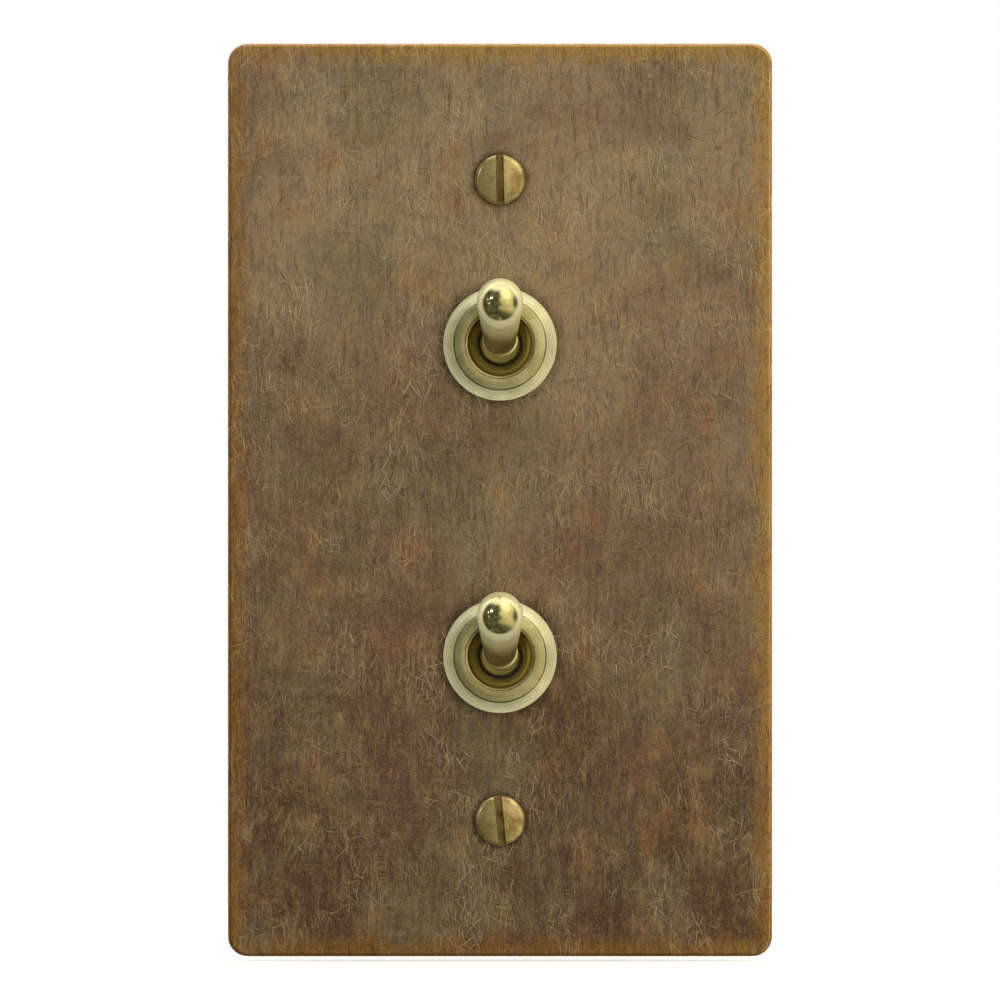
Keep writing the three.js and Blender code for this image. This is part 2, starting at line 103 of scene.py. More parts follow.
plate_low, plate_high = span("face_plate")
PLATE_WIDTH = plate_high.x - plate_low.x
PLATE_HEIGHT = plate_high.z - plate_low.z
PLATE_FRONT = plate_low.y
PLATE_CORNER = 2.6
PLATE_EDGE = 0.5  # how far the front edge is eased
PLATE_BACK_EDGE = 0.12
PLATE_RIM = 6.5
PLATE_RIB = 5.0
PLATE_SKIN = 2.0
POCKET_CORNER = 3.0
TOGGLE_HOLE = 6.25
SCREW_HOLE = 1.95
SINK_RADIUS = 3.37
EARTH_HOLE = 1.65

SCREW_Z = {where: middle(f"plate_screw_{where}").z for where in PLACES}
SCREW_LEAN = {"upper": 1.2, "lower": 5.5}
SCREW_HEAD = 3.3
SCREW_TOP = span("plate_screw_upper")[0].y
SCREW_LENGTH = 25.0
SCREW_SLOT = 1.03
SCREW_SLOT_DEPTH = 1.05
SCREW_SHANK = 1.75
SCREW_PITCH = 0.794

PIVOT_Y = JOINTS["lever_swing_upper"]["pos_m"][1] / MM
HINGE_Y = JOINTS["rocker_rock_upper"]["pos_m"][1] / MM
TOGGLE_Z = {where: JOINTS[f"lever_swing_{where}"]["pos_m"][2] / MM for where in PLACES}
LEVER_TILT = 15.0
ROCKER_TILT = 7.0

BUSHING_FRONT = -5.6
BUSHING_RADIUS = 6.0
BOWL_RADIUS = 4.5
BOWL_DEPTH = 2.25
THROAT = 2.87
THREAD_PITCH = 0.8
NUT_RADIUS = 7.38
NUT_FRONT = -5.4
NUT_BACK = -3.1
LEVER_TIP = 20.9
TIP_RADIUS = 3.0
BASE_AT = 2.3
BASE_RADIUS = 2.1
BALL = 3.2
SPRING_FRONT = 2.64
SPRING_BACK = 5.11
TIP_Y = PIVOT_Y - LEVER_TIP * cos(radians(LEVER_TILT))

CASE_WIDTH = 18.0
CASE_HEIGHT = 30.0
CASE_CORNER = 1.2
CASE_FRONT = 4.75
CASE_FLOOR = 12.75
CASE_BACK = 18.0
COVER_FRONT = 3.6
COVER_BACK = 4.6
TAB_HALF = 4.0
TAB_DEPTH = (11.5, 12.3)  # where the cover's tabs turn into the case
OUTER_SCREW = 11.9
COMMON_SCREW = -0.4
TERMINAL_WIDTH = 6.0
TERMINAL_INNER = (11.8, 12.65)  # a terminal strip's two faces inside the case
TERMINAL_OUTER = (18.1, 19.1)  # and behind it
OUTER_STRIP = (7.9, 8.9)  # how far above or below the middle a terminal passes through the case's back
COMMON_STRIP = (2.6, 3.6)
SLOT_PLAY = 0.15
FIXED_CONTACT = 5.97
MOVING_CONTACT = 6.0
CONTACT_HOLE = 0.95
CONTACT_HEAD = 0.7
PAST = 0.5  # how far a cutting shape runs past the face that it opens
ALONG = Vector((0, 1, 0))  # the depth, which every round piece is turned about

# ------------------------------------------------------------------ mesh helpers


def arc(centre, radius, start, end, steps):
    """Points on a circle in the (radius, depth) plane, from one angle in degrees to another."""
    angles = [radians(start + (end - start) * i / steps) for i in range(steps + 1)]
    return [(centre[0] + radius * cos(a), centre[1] + radius * sin(a)) for a in angles]


def rounded(points, closed=False, steps=4):
    """An outline whose corners given as (a, b, radius) are replaced by arcs."""
    count = len(points)
    result = []
    for i, point in enumerate(points):
        corner = Vector(point[:2])
        radius = point[2] if len(point) > 2 else 0
        if not radius or (not closed and i in (0, count - 1)):
            result.append(tuple(corner))
            continue
        before = Vector(points[i - 1][:2]) - corner
        after = Vector(points[(i + 1) % count][:2]) - corner
        half = before.angle(after) / 2
        reach = min(radius / tan(half), 0.49 * before.length, 0.49 * after.length)
        radius = reach * tan(half)
        centre = corner + (before.normalized() + after.normalized()).normalized() * (radius / sin(half))
        start = corner + before.normalized() * reach - centre
        turn = start.angle_signed(corner + after.normalized() * reach - centre)
        base = atan2(start.y, start.x)
        for k in range(steps + 1):
            a = base - turn * k / steps
            result.append((centre.x + radius * cos(a), centre.y + radius * sin(a)))
    return result


def revolve(points, sides=96, closed=False, warp=None):
    """A mesh turned about the Y axis from (radius, depth) points. warp moves a point by its angle."""
    bm = bmesh.new()
    rings = []
    for radius, depth in points:
        if radius < 1e-6:
            rings.append([bm.verts.new((0, depth, 0))] * sides)
            continue
        ring = []
        for i in range(sides):
            angle = 2 * pi * i / sides
            r, d = warp(radius, depth, angle) if warp else (radius, depth)
            ring.append(bm.verts.new((r * sin(angle), d, r * cos(angle))))
        rings.append(ring)
    following = rings[1:] + (rings[:1] if closed else [])
    for lower, upper in zip(rings, following):
        for i in range(sides):
            j = (i + 1) % sides
            corners = list(dict.fromkeys((lower[i], lower[j], upper[j], upper[i])))
            if len(corners) > 2:
                bm.faces.new(corners)
    bmesh.ops.recalc_face_normals(bm, faces=bm.faces)
    return bm


def stack(loops):
    """A closed mesh through loops of equal length, capped at the first and the last."""
    bm = bmesh.new()
    rings = [[bm.verts.new(point) for point in loop] for loop in loops]
    count = len(rings[0])
    for lower, upper in zip(rings, rings[1:]):
        for i in range(count):
            j = (i + 1) % count
            bm.faces.new((lower[i], lower[j], upper[j], upper[i]))
    bm.faces.new(rings[0])
    bm.faces.new(rings[-1])
    bmesh.ops.recalc_face_normals(bm, faces=bm.faces)
    return bm


def slab(outline, front, back, x=0.0, z=0.0):
    """An outline in x and z, as a solid between two depths."""
    return stack([[(a + x, depth, b + z) for a, b in outline] for depth in (front, back)])


def side_prism(outline, width):
    """An outline in y and z, as a solid across x."""
    return stack([[(x, a, b) for a, b in outline] for x in (-width / 2, width / 2)])


def box(x, y, z):
    """A box between two limits on each axis, used to cut or to join."""
    return slab([(x[0], z[0]), (x[1], z[0]), (x[1], z[1]), (x[0], z[1])], *y)


def moved(bm, x, z):
    bmesh.ops.translate(bm, verts=bm.verts, vec=(x, 0, z))
    return bm


def bar(radius, front, back, x=0.0, z=0.0, sides=64):
    """A round bar or hole cutter along the depth."""
    return moved(revolve([(0, front), (radius, front), (radius, back), (0, back)], sides), x, z)


def rectangle(width, height, radius, steps=8):
    """A rectangle with round corners about the origin."""
    w, h = width / 2, height / 2
    return rounded([(w, -h, radius), (w, h, radius), (-w, h, radius), (-w, -h, radius)], True, steps)


def new_object(name, data):
    """An object in the scene for a mesh, a light or a camera."""
    made = bpy.data.objects.new(name, data)
    SCENE.collection.objects.link(made)
    return made


def to_object(bm, name="shape"):
    """An object in the scene that takes over a mesh."""
    mesh = bpy.data.meshes.new(name)
    bm.to_mesh(mesh)
    bm.free()
    return new_object(name, mesh)


def combine(bm, *others, operation):
    """The first mesh with the others cut from it, joined to it or kept in common with it."""
    piece = to_object(bm)
    for other in others:
        tool = to_object(other)
        modifier = piece.modifiers.new("combine", "BOOLEAN")
        modifier.operation = operation
        modifier.solver = "EXACT"
        modifier.object = tool
        graph = bpy.context.evaluated_depsgraph_get()
        mesh = bpy.data.meshes.new_from_object(piece.evaluated_get(graph))
        piece.modifiers.clear()
        piece.data = mesh
        bpy.data.objects.remove(tool)
    result = bmesh.new()
    result.from_mesh(piece.data)
    bpy.data.objects.remove(piece)
    bmesh.ops.remove_doubles(result, verts=result.verts, dist=1e-5)
    return result


def cut(bm, *others):
    return combine(bm, *others, operation="DIFFERENCE")


def join(bm, *others):
    return combine(bm, *others, operation="UNION")


def thread(front, back, pitch, depth):
    """A warp that cuts a screw thread into the stretch between two depths, fading out at both ends."""

    def warp(radius, y, angle):
        if not front <= y <= back:
            return radius, y
        phase = (y / pitch - angle / (2 * pi)) % 1
        valley = min(1, max(0, 1.25 * abs(2 * phase - 1) - 0.12))
        fade = min(1, (y - front) / pitch, (back - y) / pitch)
        return radius - depth * valley * fade, y

    return warp


def thread_rows(radius, front, back, pitch, rows_per_turn=8):
    """Profile points that are close enough together to carry a thread."""
    rows = round((back - front) / pitch * rows_per_turn)
    return [(radius, front + (back - front) * i / rows) for i in range(rows + 1)]


def finished(name, bm, material, place=Matrix.Identity(4), bevel=0.0, segments=3, sharp=32, where=None):
    """Turns a mesh in millimetres into the piece for a CAD node. where names one of a pair of nodes."""
    node = f"{name}_{where}" if where else name
    bm.transform(Matrix.Scale(MM, 4) @ place)
    piece = to_object(bm, f"fine_{node}")
    piece.data.materials.append(material)
    piece.data.shade_smooth()
    piece.data.set_sharp_from_angle(angle=radians(sharp))
    if bevel:
        edges = piece.modifiers.new("eased_edges", "BEVEL")
        edges.width = bevel * MM
        edges.segments = segments
        edges.limit_method = "ANGLE"
        edges.angle_limit = radians(sharp)
        edges.use_clamp_overlap = True
    normals = piece.modifiers.new("flat_faces", "WEIGHTED_NORMAL")
    normals.keep_sharp = True
    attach(piece, BODY_OF[node])
    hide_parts(node)
    return piece


# ------------------------------------------------------------------ material helpers


class Graph:
    """A node tree, with short calls for the nodes used here."""

    def __init__(self, tree, material=None):
        self.tree = tree
        self.material = material
        self.shader = tree.nodes.get("Principled BSDF")

    def filled(self, kind, given, output=0, **settings):
        """The output of a new node, whose inputs are given by name or by number."""
        made = self.tree.nodes.new("ShaderNode" + kind)
        for key, value in settings.items():
            setattr(made, key, value)
        for name, value in given.items():
            self.plug(made.inputs[name], value)
        return made.outputs[output]

    def plug(self, socket, value):
        if isinstance(value, bpy.types.NodeSocket):
            self.tree.links.new(value, socket)
        elif value is not None:
            socket.default_value = value

    def node(self, kind, *inputs, **settings):
        return self.filled(kind, dict(enumerate(inputs)), **settings)

    def math(self, operation, *inputs):
        return self.node("Math", *inputs, operation=operation)

    def times(self, *inputs):
        return self.math("MULTIPLY", *inputs)

    def vector(self, operation, *inputs):
        return self.node("VectorMath", *inputs, operation=operation)

    def length(self, vector):
        return self.node("VectorMath", vector, operation="LENGTH", output=1)

    def scaled(self, vector, factor):
        return self.filled("VectorMath", {0: vector, "Scale": factor}, operation="SCALE")

    def stretched(self, vector, x, y, z, shift=0.0):
        pulled = self.vector("MULTIPLY", vector, (x, y, z))
        return self.vector("ADD", pulled, (shift, shift * 1.7, shift * 0.6)) if shift else pulled

    def noise(self, vector, scale, detail=4.0, roughness=0.55, distortion=0.0, output=0):
        given = {"Vector": vector, "Scale": scale, "Detail": detail, "Roughness": roughness}
        given["Distortion"] = distortion
        return self.filled("TexNoise", given, output)

    def between(self, value, low, high, to_low=0.0, to_high=1.0, smooth=True):
        """value carried from low..high to to_low..to_high, and held at both ends."""
        given = {"Value": value, "From Min": low, "From Max": high, "To Min": to_low, "To Max": to_high}
        return self.filled("MapRange", given, interpolation_type="SMOOTHSTEP" if smooth else "LINEAR")

    def mix(self, share, first, second):
        given = {0: share, 6: rgba(first), 7: rgba(second)}
        return self.filled("Mix", given, 2, data_type="RGBA")

    def tint(self, color, share, amount, other):
        """A colour with some of another laid over it, by a share that varies and a constant amount."""
        return self.mix(self.times(share, amount), color, other)

    def split(self, vector):
        made = self.tree.nodes.new("ShaderNodeSeparateXYZ")
        self.plug(made.inputs[0], vector)
        return made.outputs

    def spun(self, vector, angle):
        """A vector turned about Z."""
        return self.filled("VectorRotate", {"Vector": vector, "Angle": angle}, rotation_type="Z_AXIS")

    def from_axis(self, place, height):
        """Distance from the nearer of two axes, one at a height above the middle and one as far below it."""
        x, _, z = self.split(place)
        up = self.math("SUBTRACT", self.math("ABSOLUTE", z), height)
        return self.length(self.node("CombineXYZ", x, 0.0, up))

    def wisps(self, place, lean, shift):
        """Thin wavy strands, upright when lean is 0, where a drawn-out noise passes through its middle."""
        leaning = self.node("VectorRotate", place, None, (0, 1, 0), radians(lean))
        strands = self.noise(self.stretched(leaning, 2.2, 2.2, 0.42, shift), 1.0, 3.0, 0.7, 0.8)
        thin = self.between(self.math("ABSOLUTE", self.math("SUBTRACT", strands, 0.5)), 0.0, 0.012, 1.0, 0.0)
        broken = self.between(self.noise(self.stretched(place, 1, 1, 1, shift), 0.9, 2.0), 0.45, 0.6)
        return self.times(thin, broken)

    def bump(self, height, strength, distance_mm):
        return self.filled("Bump", {"Strength": strength, "Distance": distance_mm * MM, "Height": height})

    def finish(self, color, roughness, metallic, normal=None):
        given = {"Base Color": rgba(color), "Roughness": roughness, "Metallic": metallic, "Normal": normal}
        for name, value in given.items():
            self.plug(self.shader.inputs[name], value)
        return self.material


def material_graph(name):
    """The graph of a new material, and the point that it colours, in millimetres."""
    material = bpy.data.materials.new(name)
    material.use_nodes = True
    graph = Graph(material.node_tree, material)
    return graph, graph.scaled(graph.filled("TexCoord", {}, "Object"), 1 / MM)


def rgba(color):
    """Three sRGB values up to 255 become linear. A socket, or four linear values, are passed through."""
    if isinstance(color, bpy.types.NodeSocket) or len(color) == 4:
        return color
    linear = [c / 255 / 12.92 if c <= 10 else ((c / 255 + 0.055) / 1.055) ** 2.4 for c in color]
    return (*linear, 1.0)


HAIRLINE_KEYS = ("Lean", "Spread", "Cell width", "Cell height", "Half width", "Half length", "Bend", "Shift")


def hairlines_group():
    """A node group that draws one short curved hairline in each cell of a grid of random points."""
    tree = bpy.data.node_groups.new("hairlines", "ShaderNodeTree")
    tree.interface.new_socket("Place", in_out="INPUT", socket_type="NodeSocketVector")
    for name in HAIRLINE_KEYS:
        tree.interface.new_socket(name, in_out="INPUT", socket_type="NodeSocketFloat")
    tree.interface.new_socket("Line", in_out="OUTPUT", socket_type="NodeSocketFloat")
    g = Graph(tree)
    source = tree.nodes.new("NodeGroupInput").outputs
    x, _, z = g.split(source["Place"])
    flat = g.node("CombineXYZ", x, z, 0.0)
    turned = g.spun(flat, source["Lean"])
    cell = g.node("CombineXYZ", source["Cell width"], source["Cell height"], 1.0)
    shift = g.node("CombineXYZ", source["Shift"], source["Shift"], 0.0)
    scaled = g.vector("ADD", g.vector("DIVIDE", turned, cell), shift)
    voronoi = tree.nodes.new("ShaderNodeTexVoronoi")
    voronoi.voronoi_dimensions = "2D"
    voronoi.inputs["Scale"].default_value = 1.0
    g.plug(voronoi.inputs["Vector"], scaled)
    red, green, blue = g.split(voronoi.outputs["Color"])
    offset = g.vector("MULTIPLY", g.vector("SUBTRACT", scaled, voronoi.outputs["Position"]), cell)
    jitter = g.times(g.math("SUBTRACT", red, 0.5), source["Spread"])
    across, along, _ = g.split(g.spun(offset, jitter))
    curve = g.times(g.math("SUBTRACT", green, 0.5), source["Bend"])
    bent = g.math("MULTIPLY_ADD", g.times(along, along), curve, across)
    width = g.math("DIVIDE", g.math("ABSOLUTE", bent), source["Half width"])
    length = g.times(source["Half length"], g.between(blue, 0.0, 1.0, 0.35, 1.0, False))
    reach = g.math("DIVIDE", g.math("ABSOLUTE", along), length)
    thin = g.between(width, 0.2, 1.0, 1.0, 0.0)
    short = g.between(reach, 0.5, 1.0, 1.0, 0.0)
    chance = g.math("FRACT", g.times(blue, 7.3))
    faint = g.between(g.math("POWER", chance, 2.2), 0.0, 1.0, 0.2, 1.0, False)
    line = g.times(g.times(thin, short), faint)
    sink = tree.nodes.new("NodeGroupOutput")
    g.plug(sink.inputs[0], line)
    return tree


HAIRLINES = hairlines_group()


def hairlines(g, place, *layers):
    """The strongest of several layers of hairlines, each a value for every key, with angles in degrees."""
    drawn = []
    for lean, spread, *rest in layers:
        given = dict(zip(HAIRLINE_KEYS, (radians(lean), radians(spread), *rest)))
        drawn.append(g.filled("Group", {"Place": place, **given}, node_tree=HAIRLINES))
    return reduce(partial(g.math, "MAXIMUM"), drawn)


# ------------------------------------------------------------------ materials


# A pale colour laid over satin brass: partly what a satin finish scatters instead of reflecting, partly a
# painted sheen.
PALE_HAZE_AND_SHEEN = (248, 246, 202)


def patina(g, place, mottle):
    """The plate's colour: olive and grey above, red-brown and purple-brown below, in soft blotches, and
    lighter towards the top and the right, partly patina and partly painted light from the upper right.
    """
    x, _, z = g.split(place)
    # Painted light mixed with the patina's own change: the plate grows lighter towards the top and the right.
    height = g.between(z, -PLATE_HEIGHT / 2, PLATE_HEIGHT / 2, 0.0, 1.0, False)
    height = g.math("ADD", height, g.times(x, 0.2 / PLATE_WIDTH))
    drift = g.noise(place, 0.035, 3.0, 0.5)
    level = g.math("ADD", height, g.times(g.math("SUBTRACT", drift, 0.5), 0.9))
    color = g.mix(g.between(level, 0.05, 0.9), (110, 82, 72), (198, 174, 150))
    olive = g.between(g.noise(g.stretched(place, 1, 1, 0.8, 11.0), 0.07, 5.0, 0.62), 0.44, 0.66)
    color = g.tint(color, olive, 0.7, (144, 140, 120))
    purple = g.between(g.noise(g.stretched(place, 1, 1, 0.9, 37.0), 0.055, 5.0, 0.6), 0.42, 0.68)
    color = g.tint(color, purple, 0.62, (132, 98, 96))
    gold = g.between(g.noise(g.stretched(place, 1, 1, 0.8, 71.0), 0.16, 5.0, 0.66), 0.5, 0.7)
    color = g.tint(color, gold, 0.5, (192, 148, 100))
    color = g.mix(g.between(mottle, 0.5, 0.7, 0.0, 0.3), color, (112, 84, 76))
    return g.mix(g.between(mottle, 0.5, 0.32, 0.0, 0.32), color, (202, 174, 130))


def worn_edges(g, place, color):
    """A colour with gold worn through it along the plate's edges, brightest at the upper right by painted
    light.
    """
    x, _, z = g.split(place)
    to_side = g.math("SUBTRACT", PLATE_WIDTH / 2, g.math("ABSOLUTE", x))
    to_end = g.math("SUBTRACT", PLATE_HEIGHT / 2, g.math("ABSOLUTE", z))
    inset = g.math("MINIMUM", to_side, to_end)
    ragged = g.math("MULTIPLY_ADD", g.noise(g.stretched(place, 1, 1, 0.6), 0.45, 6.0, 0.75), 6.0, -3.0)
    worn = g.between(g.math("ADD", inset, ragged), 0.5, 3.4, 1.0, 0.0)
    flecks = g.between(g.noise(g.stretched(place, 1.6, 1.6, 0.7, 43.0), 1.6, 4.0, 0.7), 0.36, 0.62, 0.6, 1.0)
    # Painted light: the worn gold is lighter towards the upper right, where the light falls.
    painted_light_side = g.math("ADD", g.math("DIVIDE", x, PLATE_WIDTH), g.math("DIVIDE", z, PLATE_HEIGHT))
    rubbed = g.mix(g.between(painted_light_side, -0.4, 0.5), (170, 118, 42), (218, 168, 88))
    return g.tint(color, g.times(worn, flecks), 0.9, rubbed)


def brushed(g, place):
    """Long streaks, upright in most places and level in some."""
    upright = g.noise(g.stretched(place, 1.6, 1.6, 0.22), 1.0, 4.0, 0.65, 0.4)
    across = g.noise(g.stretched(place, 0.3, 1.2, 1.5, 19.0), 1.0, 4.0, 0.65, 0.4)
    crossed = g.between(g.noise(g.stretched(place, 1, 1, 1, 61.0), 0.12, 3.0), 0.46, 0.66, 0.0, 0.6)
    return g.math("ADD", upright, g.times(crossed, g.math("SUBTRACT", across, upright)))


def painted_contact_shade(g, place, mottle):
    """Painted shade round the dress nuts and the plate screws, where their contact shadows would fall on the
    plate.
    """
    by_nut = g.between(g.from_axis(place, TOGGLE_Z["upper"]), NUT_RADIUS + 1.6, NUT_RADIUS - 0.2)
    by_screw = g.between(g.from_axis(place, SCREW_Z["upper"]), SINK_RADIUS + 0.9, SINK_RADIUS - 0.1)
    return g.times(g.math("MAXIMUM", by_nut, by_screw), g.between(mottle, 0.3, 0.6, 0.35, 0.7))


def scratches(g, place):
    """Dark and light hair scratches, slightly wavy and more crowded in some places than in others."""
    bending = g.noise(place, 0.14, 1.0, 0.5, output="Color")
    wavy = g.vector("ADD", place, g.scaled(g.vector("SUBTRACT", bending, (0.5, 0.5, 0.5)), 3.0))
    dark_layers = (
        (2, 40, 0.9, 2.4, 0.1, 1.5, 0.08, 3.3),
        (14, 80, 1.4, 2.6, 0.1, 1.8, 0.12, 29.7),
        (88, 50, 2.2, 1.4, 0.1, 1.4, 0.08, 47.1),
    )
    light_layers = (
        (-4, 26, 0.6, 4.6, 0.06, 2.8, 0.03, 131.0),
        (0, 44, 0.8, 2.4, 0.08, 1.4, 0.08, 53.3),
        (24, 60, 1.1, 2.6, 0.09, 1.8, 0.08, 67.7),
        (-30, 70, 1.3, 2.8, 0.09, 2.0, 0.1, 79.1),
        (-72, 90, 1.8, 2.0, 0.08, 1.5, 0.1, 91.3),
        (52, 50, 6.0, 9.0, 0.09, 5.0, 0.03, 7.9),
        (-12, 40, 7.0, 14.0, 0.07, 7.0, 0.012, 17.3),
    )
    wisps = g.math("MAXIMUM", g.wisps(place, 0.0, 5.5), g.wisps(place, 22.0, 83.0))
    crowded = g.between(g.noise(place, 0.16, 2.0), 0.42, 0.64, 0.2, 1.0)
    light = g.math("MAXIMUM", hairlines(g, wavy, *light_layers), g.times(wisps, 0.6))
    return hairlines(g, wavy, *dark_layers), g.times(light, crowded)


def aged_brass():
    """Darkened, hand-rubbed brass: drifting patina, partly painted light that is brighter at the upper right,
    hair scratches, gold worn through at the edges, and painted shade round the nuts and the screws.
    """
    g, place = material_graph("aged_brass")
    mottle = g.noise(g.stretched(place, 1, 1, 0.8, 23.0), 0.38, 5.0, 0.7)
    streaks = brushed(g, place)
    grain = g.noise(g.stretched(place, 5.0, 5.0, 0.9), 1.0, 3.0, 0.7)
    speckle = g.noise(place, 3.2, 4.0, 0.75)
    dark, light = scratches(g, place)
    color = worn_edges(g, place, patina(g, place, mottle))
    color = g.mix(g.between(streaks, 0.5, 0.72, 0.0, 0.5), color, (88, 64, 54))
    color = g.mix(g.between(streaks, 0.5, 0.3, 0.0, 0.42), color, (204, 172, 132))
    color = g.mix(g.between(grain, 0.35, 0.65, 0.0, 0.22), color, (84, 60, 46))
    color = g.mix(g.between(speckle, 0.5, 0.7, 0.0, 0.42), color, (212, 182, 136))
    color = g.mix(g.between(speckle, 0.46, 0.3, 0.0, 0.25), color, (86, 62, 50))
    # Painted shade round the nuts and the screws.
    color = g.mix(painted_contact_shade(g, place, mottle), color, (66, 50, 38))
    color = g.tint(color, dark, 0.46, (64, 46, 38))
    color = g.tint(color, light, 0.62, (244, 224, 186))
    rough = g.math("SUBTRACT", g.between(speckle, 0.3, 0.7, 0.5, 0.38), g.times(light, 0.1))
    relief = g.math("SUBTRACT", g.times(light, -1.0), g.times(dark, 1.2))
    relief = g.math("ADD", relief, g.times(streaks, 0.8))
    relief = g.math("ADD", relief, g.times(grain, 0.3))
    return g.finish(color, rough, 0.9, g.bump(relief, 0.5, 0.03))


def turned_brass(name, base, shade, roughness, rings=0.25, haze_and_painted_sheen=0.0):
    """Machined brass with fine turning rings about the toggle's axis and a little tarnish, painted shade
    round the lever's throat, and where given, a pale haze on the bezel that is partly painted sheen.
    """
    g, place = material_graph(name)
    cloud = g.noise(place, 0.45, 3.0, 0.5)
    radius = g.from_axis(place, TOGGLE_Z["upper"])
    _, y, _ = g.split(place)
    turning = g.noise(g.node("CombineXYZ", radius, y, 0.0), 4.0, 4.0, 0.65)
    color = g.mix(g.between(cloud, 0.42, 0.62, 0.0, 0.7), base, shade)
    color = g.mix(g.between(turning, 0.4, 0.7, 0.0, 0.08), color, shade)
    recess = g.times(g.between(radius, 4.35, 4.15), g.between(y, -1.0, -2.0))
    color = g.tint(color, recess, 0.8, (196, 184, 132))
    # Painted shade at the bottom of the bowl, round the lever's throat.
    painted_throat_shade = g.times(recess, g.between(radius, THROAT + 0.55, THROAT + 0.1))
    color = g.tint(color, painted_throat_shade, 0.8, (84, 66, 34))
    rough = g.between(turning, 0.3, 0.7, roughness * 0.8, roughness * 1.25)
    rough = g.between(recess, 0.0, 1.0, rough, 0.26, False)
    metallic = 1.0
    if haze_and_painted_sheen:
        # Partly satin haze, partly a painted sheen: the bezel grows paler towards its outer edge.
        pale = g.times(g.between(radius, BUSHING_RADIUS, NUT_RADIUS, 0.55, 1.0), haze_and_painted_sheen)
        pale = g.times(pale, g.between(radius, BUSHING_RADIUS - 0.02, BUSHING_RADIUS + 0.02))
        color = g.mix(pale, color, PALE_HAZE_AND_SHEEN)
        metallic = g.math("SUBTRACT", 1.0, pale)
    return g.finish(color, rough, metallic, g.bump(turning, rings, 0.02))


def screw_brass():
    """Old brass screw heads: cloudy, with painted shade in the slot and under the rim."""
    g, place = material_graph("aged_screw_brass")
    _, y, _ = g.split(place)
    cloud = g.noise(place, 0.55, 4.0, 0.6)
    lathe = g.noise(g.stretched(place, 1.0, 1.0, 6.0), 1.2, 3.0, 0.6)
    color = g.mix(g.between(cloud, 0.4, 0.66, 0.0, 0.75), (220, 201, 146), (148, 121, 69))
    color = g.mix(g.between(lathe, 0.4, 0.7, 0.0, 0.18), color, (120, 94, 50))
    # Painted shade: darker deeper into the slot and down the head's side below its rim.
    painted_slot_shade = g.between(y, SCREW_TOP + 0.4, SCREW_TOP + SCREW_SLOT_DEPTH)
    color = g.tint(color, painted_slot_shade, 0.6, (84, 62, 30))
    rough = g.between(cloud, 0.35, 0.65, 0.26, 0.44)
    return g.finish(color, rough, 0.88, g.bump(lathe, 0.1, 0.02))


def lever_brass():
    """Satin on the bat, polished where a finger meets the tip, darker towards the bowl by painted shade, and
    a pale haze towards the tip that is partly painted sheen.
    """
    g, place = material_graph("lever_brass")
    _, y, _ = g.split(place)
    polish = g.between(y, TIP_Y - 0.46 * TIP_RADIUS, TIP_Y - 0.66 * TIP_RADIUS)
    fine = g.noise(place, 5.0, 4.0, 0.6)
    cloud = g.noise(place, 0.55, 4.0, 0.6)
    color = g.mix(g.between(cloud, 0.4, 0.65, 0.0, 0.6), (228, 220, 166), (204, 192, 130))
    # Painted shade: the bat grows darker towards the bowl, in patches; the ball behind it is given its light
    # colour back.
    patchy_painted_shade = g.math("MULTIPLY_ADD", cloud, 9.0, g.math("ADD", y, -4.5))
    color = g.mix(g.between(patchy_painted_shade, -16.5, -11.0, 0.0, 0.55), color, (188, 176, 120))
    color = g.mix(g.between(patchy_painted_shade, -14.0, -8.0, 0.0, 0.6), color, (156, 142, 92))
    color = g.mix(g.between(y, -4.4, -3.8, 0.0, 0.8), color, (226, 216, 162))
    satin = g.between(fine, 0.3, 0.7, 0.34, 0.5)
    rough = g.between(polish, 0.0, 1.0, satin, 0.17, False)
    # Partly satin haze, partly a painted sheen: paler towards the tip and round its shoulder, where more
    # light falls.
    bat = g.between(y, -10.0, -17.5, 0.04, 0.3)
    shoulder = g.between(y, -18.5, -21.0, 0.0, 0.25)
    haze_and_painted_sheen = g.times(g.math("ADD", bat, shoulder), g.math("SUBTRACT", 1.0, polish))
    color = g.mix(haze_and_painted_sheen, color, PALE_HAZE_AND_SHEEN)
    return g.finish(color, rough, g.math("SUBTRACT", 1.0, haze_and_painted_sheen), g.bump(fine, 0.07, 0.01))


def plated_steel(name, base, shade, roughness):
    """Zinc plate: a soft mottle with fine rolling lines."""
    g, place = material_graph(name)
    mottle = g.noise(place, 0.8, 4.0, 0.6)
    rolling = g.noise(g.stretched(place, 0.6, 0.6, 7.0), 1.4, 3.0, 0.6)
    color = g.mix(g.between(mottle, 0.35, 0.7, 0.0, 0.6), base, shade)
    color = g.mix(g.between(rolling, 0.4, 0.7, 0.0, 0.3), color, shade)
    rough = g.between(rolling, 0.3, 0.7, roughness * 0.8, roughness * 1.25)
    return g.finish(color, rough, 1.0, g.bump(rolling, 0.08, 0.01))


def phenolic():
    """Moulded phenolic resin: near-black brown with a faint flow marble and a dull gloss."""
    g, place = material_graph("phenolic")
    flow = g.noise(g.stretched(place, 0.5, 0.5, 1.0), 0.28, 5.0, 0.6, 1.2)
    grit = g.noise(place, 6.0, 3.0, 0.7)
    color = g.mix(g.between(flow, 0.42, 0.7, 0.0, 0.7), (40, 31, 27), (70, 50, 40))
    rough = g.between(grit, 0.3, 0.7, 0.34, 0.5)
    return g.finish(color, rough, 0.0, g.bump(grit, 0.12, 0.02))


